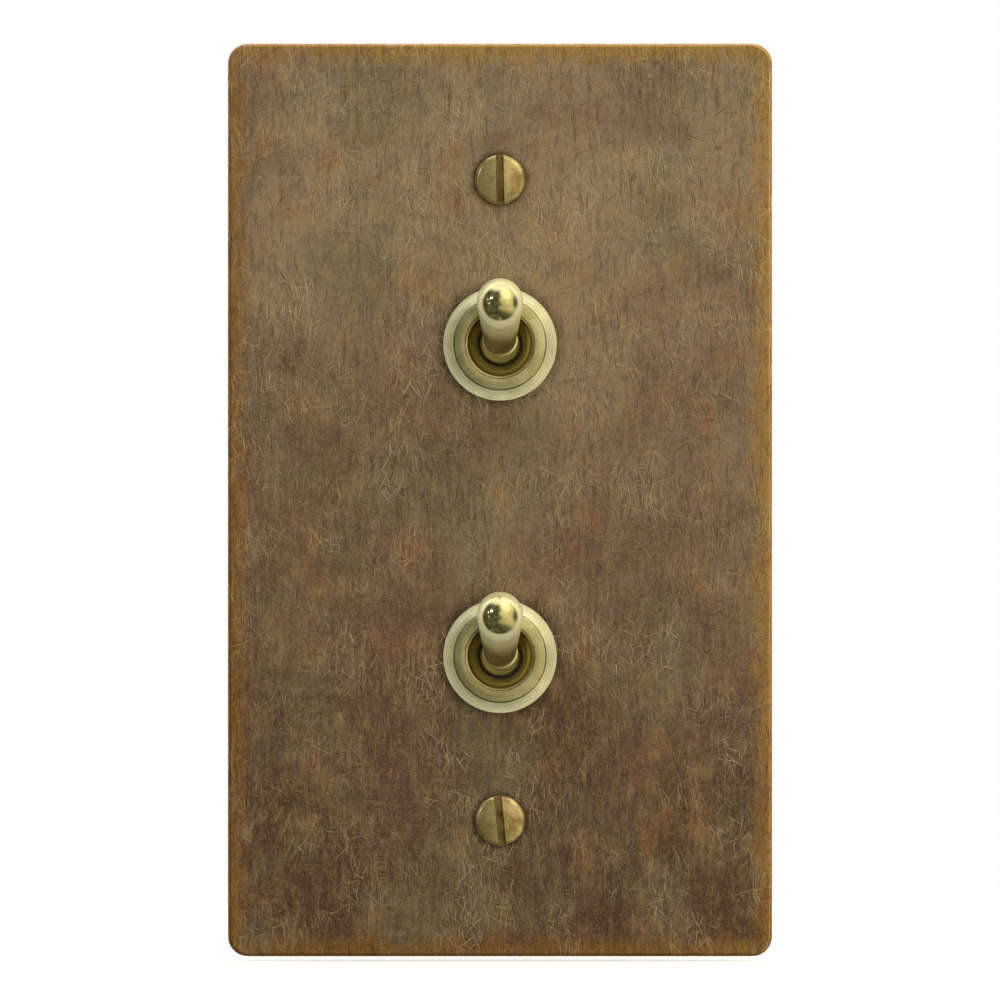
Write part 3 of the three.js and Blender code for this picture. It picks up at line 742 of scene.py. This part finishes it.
def lacquer():
    """Green lacquer on the earth screw, with brass showing where it is rubbed."""
    g, place = material_graph("green_lacquer")
    rub = g.between(g.noise(place, 1.6, 5.0, 0.65), 0.6, 0.68)
    color = g.mix(rub, (44, 104, 58), (196, 166, 92))
    cloud = g.noise(place, 0.8, 3.0, 0.5)
    color = g.mix(g.between(cloud, 0.4, 0.7, 0.0, 0.4), color, (30, 78, 44))
    return g.finish(color, 0.38, g.between(rub, 0.0, 1.0, 0.35, 1.0), g.bump(rub, 0.1, 0.01))


AGED_BRASS = aged_brass()
AGED_SCREW = screw_brass()
SATIN_BRASS = turned_brass("satin_brass", (234, 228, 184), (200, 192, 138), 0.3, 0.08, 0.62)
LEVER_BRASS = lever_brass()
RAW_BRASS = turned_brass("raw_brass", (214, 184, 112), (178, 142, 78), 0.3)
ZINC = plated_steel("zinc_steel", (196, 200, 204), (150, 154, 160), 0.3)
SPRING_STEEL = plated_steel("spring_steel", (160, 163, 168), (112, 114, 120), 0.24)
BRONZE = turned_brass("bronze", (206, 150, 96), (160, 104, 62), 0.3)
SILVER = plated_steel("silver", (236, 236, 230), (196, 196, 190), 0.22)
PHENOLIC = phenolic()
GREEN = lacquer()

# ------------------------------------------------------------------ wall plate and its screws


def face_plate():
    """A plate with a round front edge, two pockets behind a rim and a rib, and its holes."""
    steps = 6
    turns = [pi / 2 * i / steps for i in range(steps + 1)]
    edge = [(PLATE_EDGE * (1 - sin(a)), PLATE_FRONT + PLATE_EDGE * (1 - cos(a))) for a in turns]
    loops = []
    for inset, depth in (*edge, (0, -PLATE_BACK_EDGE), (PLATE_BACK_EDGE, 0.0)):
        outline = rectangle(PLATE_WIDTH - 2 * inset, PLATE_HEIGHT - 2 * inset, PLATE_CORNER - inset, 10)
        loops.append([(x, depth, z) for x, z in outline])
    tools = []
    pocket_height = PLATE_HEIGHT / 2 - PLATE_RIM - PLATE_RIB / 2
    pocket = rectangle(PLATE_WIDTH - 2 * PLATE_RIM, pocket_height, POCKET_CORNER)
    for where, side in zip(PLACES, (1, -1)):
        pocket_z = side * (PLATE_RIB + pocket_height) / 2
        tools.append(slab(pocket, PLATE_FRONT + PLATE_SKIN, PAST, 0.0, pocket_z))
        tools.append(bar(TOGGLE_HOLE, PLATE_FRONT - PAST, PAST, 0.0, TOGGLE_Z[where], 96))
        mouth = [(0, PLATE_FRONT - PAST), (SINK_RADIUS + PAST, PLATE_FRONT - PAST)]
        throat = (SCREW_HOLE, PLATE_FRONT + SINK_RADIUS - SCREW_HOLE)
        cone = revolve([*mouth, throat, (SCREW_HOLE, PAST), (0, PAST)], 96)
        tools.append(moved(cone, 0, SCREW_Z[where]))
    earth = middle("earth_post")
    tools.append(bar(EARTH_HOLE, PLATE_FRONT + 0.5, PAST, earth.x, earth.z))
    return cut(stack(loops), *tools)


def plate_screw():
    """A countersunk machine screw with a low domed head and an upright slot."""
    head, top, shank = SCREW_HEAD, SCREW_TOP, SCREW_SHANK
    crown, sag, bevel = head - 0.42, 0.2, 0.4
    dome_radius = (crown**2 + sag**2) / (2 * sag)
    opening = degrees(asin(crown / dome_radius))
    shank_front = PLATE_FRONT + head - shank
    tip = PLATE_FRONT + SCREW_LENGTH
    profile = [
        *arc((0, top + dome_radius), dome_radius, -90, -90 + opening, 14),
        (head - 0.12, top + sag + 0.7 * bevel), (head - 0.02, top + sag + bevel),
        (head, top + sag + bevel + 0.1), (head, PLATE_FRONT + 0.05), (shank + 0.05, shank_front),
        *thread_rows(shank, shank_front + 0.1, tip - 0.9, SCREW_PITCH), (shank - 0.45, tip), (0, tip),
    ]
    warp = thread(shank_front + 0.1, tip - 0.9, SCREW_PITCH, 0.38)
    half, reach = SCREW_SLOT / 2, head + 1
    slot = box((-half, half), (top - PAST, top + SCREW_SLOT_DEPTH), (-reach, reach))
    return cut(revolve(profile, 64, warp=warp), slot)


def back_screw(head, head_front, head_back, shank, tip, slot_width, slot_depth, pitch=0.7):
    """A slotted binding screw whose head faces the wall."""
    profile = rounded(
        [
            (0, tip), (shank - 0.25, tip), (shank, tip + 0.25),
            *thread_rows(shank, tip + 0.3, head_front - 0.25, pitch, 6),
            (shank, head_front, 0.05), (head, head_front, 0.12),
            (head, head_back - 0.55, 0.5), (head - 0.9, head_back, 0.6), (0, head_back),
        ]
    )
    warp = thread(tip + 0.3, head_front - 0.25, pitch, 0.3)
    body = revolve(profile, 48, warp=warp)
    reach = head + 1
    slot = box((-reach, reach), (head_back - slot_depth, head_back + PAST), (-slot_width / 2, slot_width / 2))
    return cut(body, slot)


# ------------------------------------------------------------------ pieces of one toggle, about its own axis


def dress_nut():
    """The ring in front of the plate, with a round-backed bevel."""
    bore, inner_tilt, outer_tilt = 6.03, 36.0, 50.0
    rise = sin(radians(outer_tilt)) - sin(radians(inner_tilt))
    crown_radius = (NUT_RADIUS - bore) / rise
    centre_x = bore - crown_radius * sin(radians(inner_tilt))
    centre_y = NUT_FRONT + crown_radius * cos(radians(inner_tilt))
    crown = arc((centre_x, centre_y), crown_radius, inner_tilt - 90, outer_tilt - 90, 12)
    shoulder = (NUT_RADIUS, crown[-1][1], 0.08)
    inner_edge = [(bore, NUT_FRONT + 0.12), (bore + 0.04, NUT_FRONT + 0.03)]
    rim = rounded([crown[-2], shoulder, (NUT_RADIUS, NUT_BACK, 0.08), (bore, NUT_BACK)])[1:]
    return revolve([*inner_edge, *crown[1:-1], *rim], 128, True)


def bushing():
    """A threaded barrel with a flat face, a dished bowl, and a round socket for the lever's ball."""
    front, radius, rim = BUSHING_FRONT, BUSHING_RADIUS, BOWL_RADIUS
    lip, socket, bore, thread_back, tail = 0.4, 3.45, 4.2, 3.3, 5.2
    bowl = []
    for i in range(15):
        a = radians(12 + 78 * i / 14)
        bowl.append((THROAT + (rim - 0.32 - THROAT) * sin(a), front + lip + (BOWL_DEPTH - lip) * cos(a)))
    face_from, face_to = rim + 0.1, radius - 0.12
    face_radius = (face_to - face_from) / (sin(radians(6.5)) + sin(radians(1)))
    face_middle = face_from + face_radius * sin(radians(1))
    throat_angle = degrees(atan2(-sqrt(socket**2 - THROAT**2), THROAT))
    profile = [
        *arc((face_middle, front + face_radius), face_radius, -91, -83.5, 6),
        (radius - 0.03, front + 0.14), (radius, front + 0.24),
        *thread_rows(radius, NUT_BACK, thread_back, THREAD_PITCH),
        (radius - 0.2, thread_back + 0.2), (5.2, thread_back + 0.2), (5.2, CASE_FRONT),
        (5.6, CASE_FRONT), (5.7, CASE_FRONT + 0.1), (5.7, tail - 0.1), (5.6, tail),
        (bore, tail), (bore, 1.2), (socket, 1.2), *arc((0, PIVOT_Y), socket, 0, throat_angle, 8), *bowl,
        (rim - 0.28, front + 0.29), (rim - 0.24, front + 0.24), (rim - 0.08, front + 0.22),
        (rim - 0.03, front + 0.17), (rim, front + 0.06),
    ]
    body = revolve(profile, 128, True, thread(NUT_BACK, thread_back, THREAD_PITCH, 0.42))
    pin_slot = 0.95
    return cut(body, box((-4.75, 4.75), (PIVOT_Y - pin_slot, tail + PAST), (-pin_slot, pin_slot)))


def locating_washer():
    """A flat ring with a tab that keeps the switch from turning in the plate."""
    low, high, inner, outer = -0.9, -0.1, 6.2, 8.2
    section = [(inner, low, 0.08), (outer, low, 0.15), (outer, high, 0.15), (inner, high, 0.08)]
    ring = revolve(rounded(section, True), 96, True)
    tab = rounded([(-1.5, 7.2), (1.5, 7.2), (1.5, 10.4, 0.5), (-1.5, 10.4, 0.5)], True)
    return join(ring, slab(tab, low + 0.02, high - 0.02))


def lock_washer():
    """A spring ring with twelve twisted teeth on its inner edge."""
    teeth = 12

    def warp(radius, depth, angle):
        if radius > 7:
            return radius, depth
        phase = (angle * teeth / (2 * pi)) % 1
        gap = min(1, max(0, (abs(phase - 0.5) - 0.28) * 12))
        twist = 0.22 * (phase - 0.5) * (1 - gap)
        return radius + 0.75 * gap, depth + twist

    outside = [(7.0, 0.1), (7.6, 0.1), (7.7, 0.2), (7.7, 0.5), (7.6, 0.6), (7.0, 0.6)]
    return revolve([(6.2, 0.12), *outside, (6.2, 0.58)], teeth * 16, True, warp)


def hex_nut():
    """A hexagonal back nut whose corners are turned down on both faces."""
    front, back, flats, bore = 0.85, 3.25, 14.0, 6.05
    corner = flats / 2 / cos(radians(30))
    turns = [radians(60 * i) for i in range(6)]
    hexagon = [(corner * cos(a), corner * sin(a)) for a in turns]
    face = [(bore, front + 0.3), (bore + 0.3, front), (flats / 2 - 0.1, front), (corner + 0.25, front + 0.75)]
    half = [*face[1:], *[(r, front + back - y) for r, y in reversed(face)]]
    turned = revolve([*half, face[0]], 96, True)
    return combine(turned, slab(hexagon, front - PAST, back + PAST), operation="INTERSECT")


def lever():
    """A ball-ended bat, the pivot ball and the hollow stem behind it, pierced for the pivot pin."""
    ball_from = -degrees(asin(BASE_AT / BALL))
    stem, stem_end, bore, bore_front = 2.0, 8.5, 1.35, 2.6
    ball_to = degrees(acos(stem / BALL))
    past_equator = degrees(atan((TIP_RADIUS - BASE_RADIUS) / (LEVER_TIP - BASE_AT)))
    tip = arc((0, -LEVER_TIP), TIP_RADIUS, -90, past_equator, 28)
    start, end = Vector(tip[-1]), Vector((BASE_RADIUS, -BASE_AT))
    taper = [tuple(start.lerp(end, t / 12)) for t in range(1, 12)]
    profile = [
        *tip, *taper, (BASE_RADIUS + 0.02, -BASE_AT - 0.3), (BASE_RADIUS - 0.04, -BASE_AT - 0.2),
        (BASE_RADIUS - 0.16, -BASE_AT - 0.14), (BASE_RADIUS - 0.12, -BASE_AT),
        *arc((0, 0), BALL, ball_from + 2, ball_to, 20),
        (stem, stem_end - 0.15), (stem - 0.15, stem_end),
        (bore + 0.1, stem_end), (bore, stem_end - 0.1), (bore, bore_front), (0, bore_front - 0.3),
    ]
    return cut(revolve(profile, 96), cross_bar(0.85, BALL + PAST))


def cross_bar(radius, half_length, edge=0.0):
    """A round bar along x through the origin, with eased ends."""
    corner = [(radius, -half_length)]
    if edge:
        corner = [(radius - edge, -half_length), (radius, -half_length + edge)]
    other = [(r, -y) for r, y in reversed(corner)]
    bm = revolve([(0, -half_length), *corner, *other, (0, half_length)], 48)
    bm.transform(Matrix.Rotation(radians(90), 4, "Z"))
    return bm


def coil_spring():
    """The compression spring inside the lever's stem."""
    turns, radius, wire = 4, 0.95, 0.16
    start, end = SPRING_FRONT + wire, SPRING_BACK - wire
    steps, sides = turns * 28, 10
    ring = [2 * pi * k / sides for k in range(sides)]
    loops = []
    for i in range(steps + 1):
        t = i / steps
        a = 2 * pi * turns * t
        out = Vector((cos(a), 0, sin(a)))
        centre = out * radius + ALONG * (start + (end - start) * t)
        loops.append([tuple(centre + (out * cos(b) + ALONG * sin(b)) * wire) for b in ring])
    return stack(loops)


def plunger():
    """A round-nosed pin that slides in the lever's stem and tips the rocker."""
    front, radius, nose, nose_at = 5.2, 1.15, 1.0, 9.5
    side = [(radius, front, 0.15), (radius, nose_at - 0.6, 0.3)]
    profile = rounded([(0, front), *side, (nose, nose_at - 0.2)])
    return revolve([*profile, *arc((0, nose_at), nose, 0, 90, 12)], 48)


TROUGH_RADIUS = 5.32
TROUGH_HALF = 2.9
STRIP = 0.8
WING_FRONT = -0.85 - (TROUGH_RADIUS - sqrt(TROUGH_RADIUS**2 - TROUGH_HALF**2))


def rocker():
    """A bent contact strip with a round trough, pierced for its two rivets."""
    outer = TROUGH_RADIUS + STRIP
    centre = -0.05 - outer
    inner_angle = degrees(asin(TROUGH_HALF / TROUGH_RADIUS))
    outer_angle = degrees(acos((WING_FRONT + STRIP - centre) / outer))
    wing_back, half_length = WING_FRONT + STRIP, 7.6
    outline = [
        (WING_FRONT, -half_length), *arc((centre, 0), TROUGH_RADIUS, -inner_angle, inner_angle, 24),
        (WING_FRONT, half_length), (wing_back, half_length),
        *arc((centre, 0), outer, outer_angle, -outer_angle, 24), (wing_back, -half_length),
    ]
    rivets = (MOVING_CONTACT, -MOVING_CONTACT)
    holes = [bar(CONTACT_HOLE, WING_FRONT - PAST, wing_back + PAST, 0, z, 48) for z in rivets]
    return cut(side_prism(outline, 7.0), *holes)


def contact(face, away, shank_length, z):
    """A silver contact rivet with a slightly domed head, whose shank points away from its face (1 or -1)."""
    dome, head, shank = 0.15, 1.6, 0.8
    seat = CONTACT_HEAD
    points = [
        (0, 0), (head * 0.5, dome * 0.25), (head * 0.85, dome * 0.72), (head, dome + 0.12),
        (head, seat - 0.08), (head - 0.08, seat), (shank, seat), (shank, seat + shank_length),
        (0, seat + shank_length),
    ]
    return moved(revolve([(radius, face + away * depth) for radius, depth in points], 48), 0, z)


def switch_case():
    """A moulded box with an open front, slots for its terminals, and two ribs that keep their wires apart."""
    past_back = CASE_BACK + PAST
    slot_half = TERMINAL_WIDTH / 2 + SLOT_PLAY
    crimp_front, crimp_back = TAB_DEPTH
    tab_half = TAB_HALF + 0.2
    screw_hole = partial(bar, 1.85, 14.5, past_back, 0)

    def strip_slot(low, high, side=1):
        height = sorted((side * (low - SLOT_PLAY), side * (high + SLOT_PLAY)))
        return box((-slot_half, slot_half), (CASE_FLOOR - PAST, past_back), height)

    hollow = box((-7.2, 7.2), (CASE_FRONT - PAST, CASE_FLOOR), (-11.6, 11.6))
    tools = [hollow, strip_slot(*COMMON_STRIP), screw_hole(COMMON_SCREW, 48)]
    ribs = []
    for side in (1, -1):
        tools.append(strip_slot(*OUTER_STRIP, side))
        tools.append(screw_hole(side * OUTER_SCREW, 48))
        tab_slot = sorted((side * 8.3, side * (CASE_WIDTH / 2 + PAST)))
        tools.append(box(tab_slot, (crimp_front - 0.2, crimp_back + 0.2), (-tab_half, tab_half)))
        rib = (side * 5.75 - 0.5, side * 5.75 + 0.5)
        ribs.append(box((-CASE_WIDTH / 2, CASE_WIDTH / 2), (CASE_BACK - PAST, 21.0), rib))
    body = slab(rectangle(CASE_WIDTH, CASE_HEIGHT, CASE_CORNER), CASE_FRONT, CASE_BACK)
    return cut(join(body, *ribs), *tools)


def switch_cover():
    """A pressed steel plate over the case's front, with two tabs crimped into the case's sides."""
    body = slab(rectangle(CASE_WIDTH, CASE_HEIGHT, CASE_CORNER), COVER_FRONT, COVER_BACK)
    crimp_front, crimp_back = TAB_DEPTH
    parts = []
    for side in (1, -1):
        across = [
            (8.0, COVER_FRONT), (9.95, COVER_FRONT, 0.9), (9.95, crimp_back, 0.7), (8.5, crimp_back),
            (8.5, crimp_front), (9.15, crimp_front, 0.15), (9.15, COVER_BACK), (8.0, COVER_BACK),
        ]
        outline = rounded([(side * x, *rest) for x, *rest in across], True)
        parts.append(stack([[(x, y, z) for x, y in outline] for z in (-TAB_HALF, TAB_HALF)]))
    return cut(join(body, *parts), bar(5.35, 3.0, 5.2, 0, 0, 96))


def bent_strip(outline, screw_z, contact_z=None):
    """A terminal strip from a side outline, pierced for its screw and its contact rivet."""
    near, far = TERMINAL_OUTER
    tools = [bar(1.75, near - PAST, far + PAST, 0, screw_z, 48)]
    if contact_z is not None:
        near, far = TERMINAL_INNER
        tools.append(bar(CONTACT_HOLE, near - PAST, far + PAST, 0, contact_z, 48))
    return cut(side_prism(rounded(outline, True), TERMINAL_WIDTH), *tools)


def outer_terminal(side):
    """The top (side 1) or bottom (side -1) terminal: a strip bent twice on its way out of the case."""
    near, far = TERMINAL_INNER
    seat, back = TERMINAL_OUTER
    low, high = OUTER_STRIP
    outline = [
        (near, 4.1), (far, 4.1), (far, low, 0.3), (back, low, 1.1), (back, 14.9), (seat, 14.9),
        (seat, high, 0.3), (near, high, 1.1),
    ]
    outline = [(y, side * z, *bend) for y, z, *bend in outline]
    return bent_strip(outline, side * OUTER_SCREW, side * FIXED_CONTACT)


def common_terminal():
    """The middle terminal, whose blunt inner edge is what the rocker rocks on."""
    near, far = TERMINAL_INNER
    seat, back = TERMINAL_OUTER
    edge = HINGE_Y + 0.05
    low, high = COMMON_STRIP
    outline = [
        (far, -1.6), (near, -1.6), (edge, -0.25, 0.15), (edge, 0.25, 0.15), (near, 1.6, 0.3),
        (near, high, 0.9), (back, high, 1.1), (back, -3.4), (seat, -3.4), (seat, low, 0.3), (far, low, 0.3),
    ]
    return bent_strip(outline, COMMON_SCREW)


def terminal_screw():
    """One of the three screws that hold the wires."""
    return back_screw(2.9, 19.2, 21.0, 1.55, 15.0, 0.9, 0.8)


# ------------------------------------------------------------------ assembly


def at(y, z, angle=0.0, axis="X"):
    """The place of a piece drawn about the origin: its depth, its height and its turn in degrees."""
    return Matrix.Translation((0, y, z)) @ Matrix.Rotation(radians(angle), 4, axis)


for where in PLACES:
    put = partial(finished, where=where)
    here = at(0, TOGGLE_Z[where])
    swing = at(PIVOT_Y, TOGGLE_Z[where], -LEVER_TILT)
    rock = at(HINGE_Y, TOGGLE_Z[where], ROCKER_TILT)
    lean = at(0, SCREW_Z[where], -SCREW_LEAN[where], "Y")
    put("plate_screw", plate_screw(), AGED_SCREW, lean, 0.09, 3, 40)
    put("dress_nut", dress_nut(), SATIN_BRASS, here)
    put("bushing", bushing(), SATIN_BRASS, here, sharp=28)
    put("locating_washer", locating_washer(), ZINC, here)
    put("lock_washer", lock_washer(), SPRING_STEEL, here)
    put("hex_nut", hex_nut(), RAW_BRASS, here, 0.08, 2, 25)
    put("switch_cover", switch_cover(), ZINC, here, 0.12)
    put("switch_case", switch_case(), PHENOLIC, here, 0.3)
    put("common_terminal", common_terminal(), RAW_BRASS, here, 0.1, 2)
    put("top_terminal", outer_terminal(1), RAW_BRASS, here, 0.1, 2)
    put("bottom_terminal", outer_terminal(-1), RAW_BRASS, here, 0.1, 2)
    fixed_face = span(f"top_fixed_contact_{where}")[0].y
    fixed_shank = TERMINAL_INNER[1] - fixed_face - CONTACT_HEAD
    moving_face = WING_FRONT + STRIP + 0.1 + CONTACT_HEAD
    for name, side in (("top", 1), ("bottom", -1)):
        fixed = contact(fixed_face, 1, fixed_shank, side * FIXED_CONTACT)
        put(f"{name}_fixed_contact", fixed, SILVER, here)
        moving = contact(moving_face, -1, STRIP + 0.2, side * MOVING_CONTACT)
        put(f"{name}_moving_contact", moving, SILVER, rock)
    for name, z in (("top", OUTER_SCREW), ("common", COMMON_SCREW), ("bottom", -OUTER_SCREW)):
        seat = at(0, TOGGLE_Z[where] + z)
        put(f"{name}_terminal_screw", terminal_screw(), RAW_BRASS, seat, 0.05, 2, 40)
    put("lever", lever(), LEVER_BRASS, swing)
    put("pivot_pin", cross_bar(0.75, 4.5, 0.12), ZINC, swing)
    spring = put("lever_spring", coil_spring(), SPRING_STEEL, swing)
    seat = swing @ (ALONG * SPRING_FRONT) * MM
    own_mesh(spring)
    put("plunger", plunger(), RAW_BRASS, swing)
    put("rocker", rocker(), BRONZE, rock, 0.08, 2)

finished("face_plate", face_plate(), AGED_BRASS, sharp=40)
post_low, post_high = span("earth_post")
post = middle("earth_post")
at_post = Matrix.Translation((post.x, 0, post.z))
hole = bar(EARTH_HOLE, post_low.y - PAST, post_high.y + PAST, 0, 0, 48)
earth_block = cut(slab(rectangle(6.0, 6.0, 1.0), post_low.y, post_high.y), hole)
finished("earth_post", earth_block, RAW_BRASS, at_post, 0.2)
finished("earth_screw", back_screw(2.6, 4.2, 5.7, 1.45, -2.4, 0.9, 0.7), GREEN, at_post, 0.05, 2, 40)

# ------------------------------------------------------------------ floor, light and camera


def floor():
    """A pale disc half a millimetre under the part."""
    low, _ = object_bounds()
    disc = bmesh.new()
    bmesh.ops.create_circle(disc, cap_ends=True, segments=96, radius=600 * MM)
    made = to_object(disc, "floor")
    made.location.z = low.z - 0.5 * MM
    g, place = material_graph("pale_floor")
    tone = g.noise(place, 0.02, 2.0, 0.5)
    color = g.mix(tone, (240, 240, 238), (246, 246, 245))
    g.plug(g.shader.inputs["Emission Color"], color)
    g.shader.inputs["Emission Strength"].default_value = 0.35
    made.data.materials.append(g.finish(color, 0.9, 0.0))
    made.visible_glossy = False
    made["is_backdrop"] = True


# Linear light levels of the studio, as red, green, blue and one.
LIN_DARK = (0.04, 0.045, 0.025, 1.0)
LIN_DIM = (0.16, 0.165, 0.12, 1.0)
LIN_WARM = (0.96, 0.87, 0.58, 1.0)
LIN_BELOW = (0.75, 0.75, 0.72, 1.0)
LIN_ABOVE = (1.35, 1.35, 1.30, 1.0)


def softbox(name, toward, distance, size, power, color):
    """A round or oval area light that looks at the plate's middle from a direction."""
    data = bpy.data.lights.new(name, "AREA")
    data.shape = "ELLIPSE"
    data.size, data.size_y = size
    data.energy = power
    data.color = color
    lamp = new_object(name, data)
    direction = Vector(toward).normalized()
    lamp.location = direction * distance
    lamp.rotation_euler = direction.to_track_quat("Z", "Y").to_euler()
    lamp.visible_camera = False


def world():
    """Studio white for the camera. Reflections see a white room, with a warm wall of light on the right of
    the camera's side and a dim room on its left."""
    made = bpy.data.worlds.new("studio")
    SCENE.world = made
    made.use_nodes = True
    tree = made.node_tree
    tree.nodes.clear()
    g = Graph(tree)
    toward = g.filled("TexCoord", {}, "Generated")
    right, away, up = g.split(toward)
    leaning = g.math("MULTIPLY_ADD", up, 0.3, away)
    front = g.times(g.between(leaning, 0.26, 0.02), g.between(up, 0.92, 0.7))
    uneven = g.math("MULTIPLY_ADD", g.noise(toward, 2.0, 3.0), 1.1, -0.55)
    wall = g.times(g.between(g.math("ADD", right, uneven), -0.3, 0.45), g.between(up, -0.95, -0.5))
    wall = g.times(wall, g.between(right, 0.99, 0.85))
    wall = g.times(wall, g.between(up, -0.4, 0.25, 0.7, 1.15))
    dim = g.mix(g.between(g.noise(toward, 3.2, 2.0), 0.4, 0.62), LIN_DARK, LIN_DIM)
    inside = g.mix(wall, dim, LIN_WARM)
    lift = g.between(up, -0.7, 0.9)
    around = g.mix(lift, LIN_BELOW, LIN_ABOVE)
    room = g.node("Background", g.mix(front, around, inside), 1.0)
    seen = g.node("Background", (1.0, 1.0, 1.0, 1.0), 1.0)
    path = g.filled("LightPath", {}, "Is Camera Ray")
    blend = g.node("MixShader", path, room, seen)
    sink = tree.nodes.new("ShaderNodeOutputWorld")
    tree.links.new(blend, sink.inputs[0])


def camera():
    """Straight on and far away, so that a square picture is 130 mm wide at the plate's front."""
    lens, sensor, picture_width = 1200.0, 36.0, 130.04
    data = bpy.data.cameras.new("camera")
    data.lens = lens
    data.sensor_width = sensor
    data.clip_end = 50
    made = new_object("camera", data)
    distance = picture_width * MM * lens / sensor
    made.location = (0, PLATE_FRONT * MM - distance, 0)
    made.rotation_euler = (radians(90), 0, 0)
    SCENE.camera = made


floor()
world()
softbox("key", (0.46, -0.62, 0.62), 0.6, (0.50, 0.56), 0.42, (1.0, 0.97, 0.88))
softbox("lamp_high", (-0.66, -0.68, 0.30), 0.9, (0.08, 0.08), 0.34, (1.0, 0.99, 0.96))
softbox("lamp_side", (-0.86, -0.48, 0.18), 0.9, (0.05, 0.05), 0.06, (1.0, 0.99, 0.96))
softbox("lamp_low", (-0.82, -0.56, -0.12), 0.9, (0.06, 0.06), 0.04, (1.0, 0.97, 0.88))
camera()
SCENE.view_settings.view_transform = "Standard"
SCENE.view_settings.look = "None"
